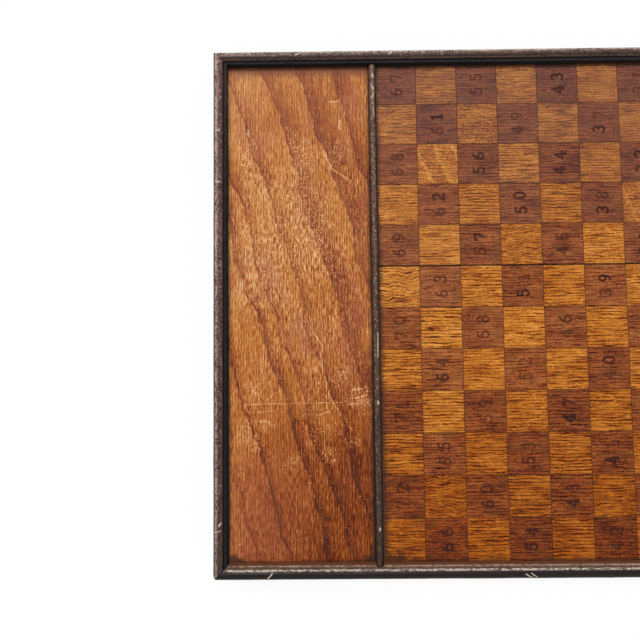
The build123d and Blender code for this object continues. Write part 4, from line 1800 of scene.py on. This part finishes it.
@dataclass
class PlayingField:
    """Twelve by twelve oak squares laid in columns, with numbers punched into the dark ones."""

    sizes: BoardSizes
    columns: int = 12
    rows: int = 12
    rear_rows: int = 5
    bevel: float = 0.12 * MM
    tone_spread: float = 0.07
    front_shade: float = 0.12
    rear_shade: float = 0.16
    amid_shade: float = 0.05
    age_spread: float = 0.15
    contrasts: Point = (0.75, 1.15)
    front_contrast: float = 0.14
    seed_reach: float = 900.0
    inks: Point = (0.5, 1.0)
    look_seed: int = 7000
    number_seed: int = 539
    sharp_angle: float = math.radians(20)
    least_ink: float = 0.02
    numerals: Numerals = field(default_factory=Numerals)
    dark: dict[str, object] = field(default_factory=lambda: {
        "tones": ((0.0, colour(50, 19, 12)), (0.25, colour(100, 44, 24)), (0.5, colour(144, 74, 37)),
                  (0.75, colour(170, 102, 54)), (1.0, colour(196, 136, 82))),
        "dull": colour(112, 84, 80), "patch": colour(110, 72, 38), "streak_strength": 0.46,
        "deep": (0.88, 0.73, 0.48, 1.0)})
    figures: dict[tuple[int, int], OakFigure] = field(default_factory=lambda: {
        (1, 2): OakFigure.RAY_FLECK, (2, 1): OakFigure.SPECKLED, (0, 5): OakFigure.MOTTLED,
        (3, 4): OakFigure.MOTTLED, (1, 10): OakFigure.MOTTLED, (6, 3): OakFigure.RAY_FLECK,
        (9, 8): OakFigure.SPECKLED, (8, 7): OakFigure.MOTTLED, (10, 9): OakFigure.RAY_FLECK})

    def __post_init__(self) -> None:
        """Works out the grid from the frame."""
        low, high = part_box("dark_squares_column_01")
        self.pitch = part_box("dark_squares_column_02")[0].x - low.x
        self.half = (high.x - low.x) / 2
        self.first_x = (low.x + high.x) / 2
        self.rear_edge = self.sizes.depth / 2 - self.sizes.rail_width

    def centre(self, column: int, row: int) -> Point:
        """The middle of a square; column 0 is the left one and row 0 the rear one."""
        seam = self.sizes.seam if row >= self.rear_rows else 0.0
        return self.first_x + column * self.pitch, self.rear_edge - (row + 0.5) * self.pitch - seam

    def number(self, column: int, row: int) -> int:
        """The number of a dark square, which runs up each column from the right."""
        return self.rows // 2 * (self.columns - 1 - column) + row // 2 + 1

    def look(self, column: int, row: int, draw: random.Random) -> Triple:
        """How a square looks: darker and warmer towards the front edge and darkest amid the field, as painted
        shade, and greyer towards the rear edge, as a painted haze.

        Args:
            column: Its column.
            row: Its row.
            draw: The field's random numbers.

        Returns:
            Its tone, its ageing and painted haze, and its contrast.
        """
        drift = 2.0 * row / (self.rows - 1) - 1.0
        tone = draw.uniform(-self.tone_spread, self.tone_spread)
        tone -= self.front_shade * max(0.0, drift) + self.rear_shade * max(0.0, -drift)
        tone -= self.amid_shade * min(column, self.columns - 1 - column, 3) / 3
        age_and_haze = drift + draw.uniform(-self.age_spread, self.age_spread)
        return tone, age_and_haze, draw.uniform(*self.contrasts) * (1.0 + self.front_contrast * drift)

    def shell(self, work: BMesh, middle: Point) -> list[bmesh.types.BMVert]:
        """Adds a square's bottom, its sides and the small bevel of its top edge.

        Args:
            work: The bmesh to add to.
            middle: The square's middle.

        Returns:
            The four vertices of the top's corners, anticlockwise.
        """
        half, top, bevel = self.half, self.sizes.surface, self.bevel
        levels = ((half, self.sizes.floor), (half, top - bevel), (half - bevel * 0.35, top - bevel * 0.35),
                  (half - bevel, top))
        rings = [[work.verts.new((middle[0] + x * reach, middle[1] + y * reach, z))
                  for x, y in ((-1, -1), (1, -1), (1, 1), (-1, 1))] for reach, z in levels]
        work.faces.new(rings[0][::-1])
        for low, high in zip(rings, rings[1:]):
            for i in range(4):
                work.faces.new((low[i], low[(i + 1) % 4], high[(i + 1) % 4], high[i]))
        return rings[-1]

    def places(self, vertices: Sequence[bmesh.types.BMVert], middle: Point) -> list[float]:
        """Where vertices lie on their square, from -1 to 1 across and up, one vector after another."""
        return [value for vertex in vertices for value in (
            (vertex.co.x - middle[0]) / self.half, (vertex.co.y - middle[1]) / self.half, 0.0)]

    def light_tile(self) -> Mesh:
        """One light square about the origin, with its own coordinates stored on it.

        Returns:
            The mesh.
        """
        work = bmesh.new()
        work.faces.new(self.shell(work, (0.0, 0.0)))
        places = self.places(work.verts, (0.0, 0.0))
        mesh = mesh_of(work)
        store(mesh, "tile_place", "FLOAT_VECTOR", places)
        return mesh

    def light_column(self, column: int, tree: Tree, tile: bpy.types.Object, material: Material) -> None:
        """Makes the light squares of a column.

        Args:
            column: Which column.
            tree: The array tree.
            tile: One square.
            material: Their material.
        """
        rows = [row for row in range(self.rows) if (column + row) % 2 == 1]
        points = mesh_from("points", [(*self.centre(column, row), 0.0) for row in rows])
        self.store_looks(points, column, rows, [1] * len(rows))
        mesh = grown(tree, points, {"Piece": tile, "Material": material})
        mesh.set_sharp_from_angle(angle=self.sharp_angle)
        name = f"light_squares_column_{column + 1:02d}"
        finished(f"light_oak_column_{column + 1:02d}", mesh, material, [name])

    def store_looks(self, mesh: Mesh, column: int, rows: Sequence[int], counts: Sequence[int]) -> None:
        """Writes each square's look, random place and figure onto its vertices.

        Args:
            mesh: The mesh, whose vertices come square by square.
            column: Which column it is.
            rows: The rows of its squares.
            counts: How many vertices each square has.
        """
        draw, reach = random.Random(self.look_seed + column), self.seed_reach
        stored = {"tile_look": [], "tile_seed": [], "tile_figure": []}
        for row, count in zip(rows, counts):
            look = self.look(column, row, draw)
            seed = (draw.uniform(-reach, reach), draw.uniform(-reach, reach), 0.0)
            figure = self.figures.get((column, row), OakFigure.PLAIN).value
            for values, value in zip(stored.values(), (look, seed, figure)):
                values += value * count
        for name, values in stored.items():
            store(mesh, name, "FLOAT_VECTOR", values)

    def dark_column(self, column: int, material: Material) -> None:
        """Makes the dark squares of a column, with their numbers pressed in.

        Args:
            column: Which column.
            material: Their material.
        """
        rows = [row for row in range(self.rows) if (column + row) % 2 == 0]
        jitter = random.Random(self.number_seed + column)
        work = bmesh.new()
        ink, places, counts = [], [], []
        for row in rows:
            before, middle = len(work.verts), self.centre(column, row)
            corners = self.shell(work, middle)
            ink += [0.0] * (len(work.verts) - before)
            ink += self.punched_top(work, corners, middle, self.number(column, row), jitter)
            work.verts.ensure_lookup_table()
            places += self.places(work.verts[before:], middle)
            counts.append(len(work.verts) - before)
        mesh = mesh_of(work)
        store(mesh, "ink", "FLOAT", ink)
        store(mesh, "tile_place", "FLOAT_VECTOR", places)
        self.store_looks(mesh, column, rows, counts)
        name = f"dark_squares_column_{column + 1:02d}"
        finished(f"dark_oak_column_{column + 1:02d}", mesh, material, [name])

    def punched_top(self, work: BMesh, corners: list[bmesh.types.BMVert], middle: Point, number: int,
                    jitter: random.Random) -> list[float]:
        """Adds a square's top with a number pressed into it.

        Args:
            work: The bmesh to add to.
            corners: The top's corners, anticlockwise.
            middle: The square's middle.
            number: What is punched.
            jitter: What sets the figures a little off their places.

        Returns:
            How inked each new vertex is.
        """
        figures = self.numerals.lines(number, middle, jitter)
        strengths = [jitter.uniform(*self.inks) for _ in figures]
        points: list[Point] = [(c.co.x, c.co.y) for c in corners]
        faces = [list(range(4))]
        for figure in figures:
            for half in self.numerals.half_strokes:
                for stroke in figure:
                    outline = ribbon(stroke, half)
                    faces.append(list(range(len(points), len(points) + len(outline))))
                    points += outline
        found, _, triangles, _, _, _ = geometry.delaunay_2d_cdt(
            [Vector(p) for p in points], [], faces, 1, 1e-7, True)
        flat = np.array([tuple(p) for p in found])
        inner, edge, outer = self.numerals.half_strokes
        drop, ink = np.zeros(len(flat)), np.zeros(len(flat))
        for figure, strength in zip(figures, strengths):
            gap = stroke_gap(flat, figure)
            drop = np.maximum(drop, np.clip((edge - gap) / (edge - inner), 0.0, 1.0))
            ink = np.maximum(ink, strength * np.clip((outer - gap) / (outer - inner), 0.0, 1.0))
        bare = ink < self.least_ink
        drop[bare], ink[bare] = 0.0, 0.0
        made, inked = [], []
        for index, (x, y) in enumerate(flat):
            near = next((c for c in corners if abs(c.co.x - x) + abs(c.co.y - y) < SAME_PLACE), None)
            if near is None:
                near = work.verts.new((x, y, self.sizes.surface - self.numerals.depth * drop[index]))
                inked.append(float(ink[index]))
            made.append(near)
        for triangle in triangles:
            face = [made[i] for i in triangle]
            if len(set(face)) == len(face):
                work.faces.new(face)
        return inked

    def build(self) -> None:
        """Makes and dresses every column."""
        tree, tile = array_tree(), add_object("tile", self.light_tile())
        half = self.pitch / 2 * PER_METRE
        light = OakSquare(half_side=half).build()
        dark = OakSquare(name="dark_oak", half_side=half, **self.dark).build()
        for column in range(self.columns):
            self.light_column(column, tree, tile, light)
            self.dark_column(column, dark)
        bpy.data.objects.remove(tile)


@dataclass
class Underside:
    """The pine planks and cleats, and the brads and screws that hold the board together."""

    planks: tuple[str, ...] = ("base_plank_front", "base_plank_rear")
    cleats: tuple[str, ...] = ("cleat_left", "cleat_right")
    screws: tuple[str, ...] = ("cleat_screws_left", "cleat_screws_right")
    brads: tuple[str, ...] = ("rail_brads_front", "rail_brads_rear", "rail_brads_left",
                              "rail_brads_right", "divider_brads_left", "divider_brads_right")

    def build(self) -> None:
        """Dresses the nodes that are shown as they are."""
        cleat = PlainPine(name="cleat_pine", early=colour(150, 108, 70), late=colour(112, 74, 46))
        iron = AgedMetal(name="brad_iron", bright=colour(70, 62, 58), rust=colour(52, 36, 30))
        steel = AgedMetal(name="screw_steel", roughness=0.42, bright=colour(134, 128, 120))
        groups = ((self.planks, PlainPine().build()), (self.cleats, cleat.build(math.pi / 2)),
                  (self.screws, steel.build()), (self.brads, iron.build()))
        for names, material in groups:
            for name in names:
                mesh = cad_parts[name].data
                mesh.materials.clear()
                mesh.materials.append(material)
                log.info("%s: dressed in %s", name, material.name)


@dataclass
class Studio:
    """The floor, the light and the camera."""

    floor_size: float = 24.0
    floor_drop: float = 0.2 * MM
    sun_turn: float = math.radians(14)
    sun_height: float = math.radians(57)
    sun_spread: float = math.radians(24)
    sun_strength: float = 2.3
    fill: float = 0.42
    camera_place: Triple = (-0.2903, 0.0077, 0.5217)
    camera_turn: Triple = (3.3064, 0.4308, -0.5638)
    lens: float = 30.0
    sensor: float = 36.0
    shift: Point = (0.018, -0.08)
    nearest: float = 0.02

    def build(self) -> None:
        """Sets everything around the board."""
        self.floor()
        self.light()
        self.camera()

    def floor(self) -> None:
        """Lays the floor that the cleats rest on."""
        half, z = self.floor_size / 2, -self.floor_drop
        corners = [(-half, -half, z), (half, -half, z), (half, half, z), (-half, half, z)]
        floor = add_object("floor", mesh_from("floor", corners, [], [(0, 1, 2, 3)]))
        floor.data.materials.append(PaleFloor().build())

    def light(self) -> None:
        """Hangs a soft light to the rear and a little to the left, in a pale room."""
        lamp = bpy.data.lights.new("window", "SUN")
        lamp.energy, lamp.angle = self.sun_strength, self.sun_spread
        flat = math.cos(self.sun_height)
        towards = Vector((-flat * math.sin(self.sun_turn), flat * math.cos(self.sun_turn),
                          math.sin(self.sun_height)))
        add_object("window", lamp).rotation_euler = towards.to_track_quat("Z", "Y").to_euler()
        world = bpy.data.worlds.new("room")
        bpy.context.scene.world = world
        world.use_nodes = True
        graph = Graph(world.node_tree)
        grey, white = (graph.out("ShaderNodeBackground", {"Color": (1, 1, 1, 1), "Strength": strength})
                       for strength in (self.fill, 1.0))
        mixed = graph.out("ShaderNodeMixShader", {0: seen_directly(graph), 1: grey, 2: white})
        graph.node("ShaderNodeOutputWorld", {"Surface": mixed})
        bpy.context.scene.view_settings.view_transform = "Standard"

    def camera(self) -> None:
        """Sets the camera above the left part of the board, looking almost straight down."""
        lens = bpy.data.cameras.new("camera")
        lens.lens, lens.sensor_width, lens.clip_start = self.lens, self.sensor, self.nearest
        lens.shift_x, lens.shift_y = self.shift
        camera = add_object("camera", lens)
        camera.location = self.camera_place
        camera.rotation_euler = [math.radians(a) for a in self.camera_turn]
        bpy.context.scene.camera = camera


def main() -> None:
    """Builds the board over its frame, then the studio."""
    logging.basicConfig(level=logging.INFO, format="%(name)s: %(message)s")
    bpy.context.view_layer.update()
    sizes = BoardSizes.read()
    FrameRails(sizes).build()
    DividerStrips(sizes).build()
    TrayPanels().build()
    PlayingField(sizes).build()
    Underside().build()
    Studio().build()


if __name__ == "__main__":
    main()
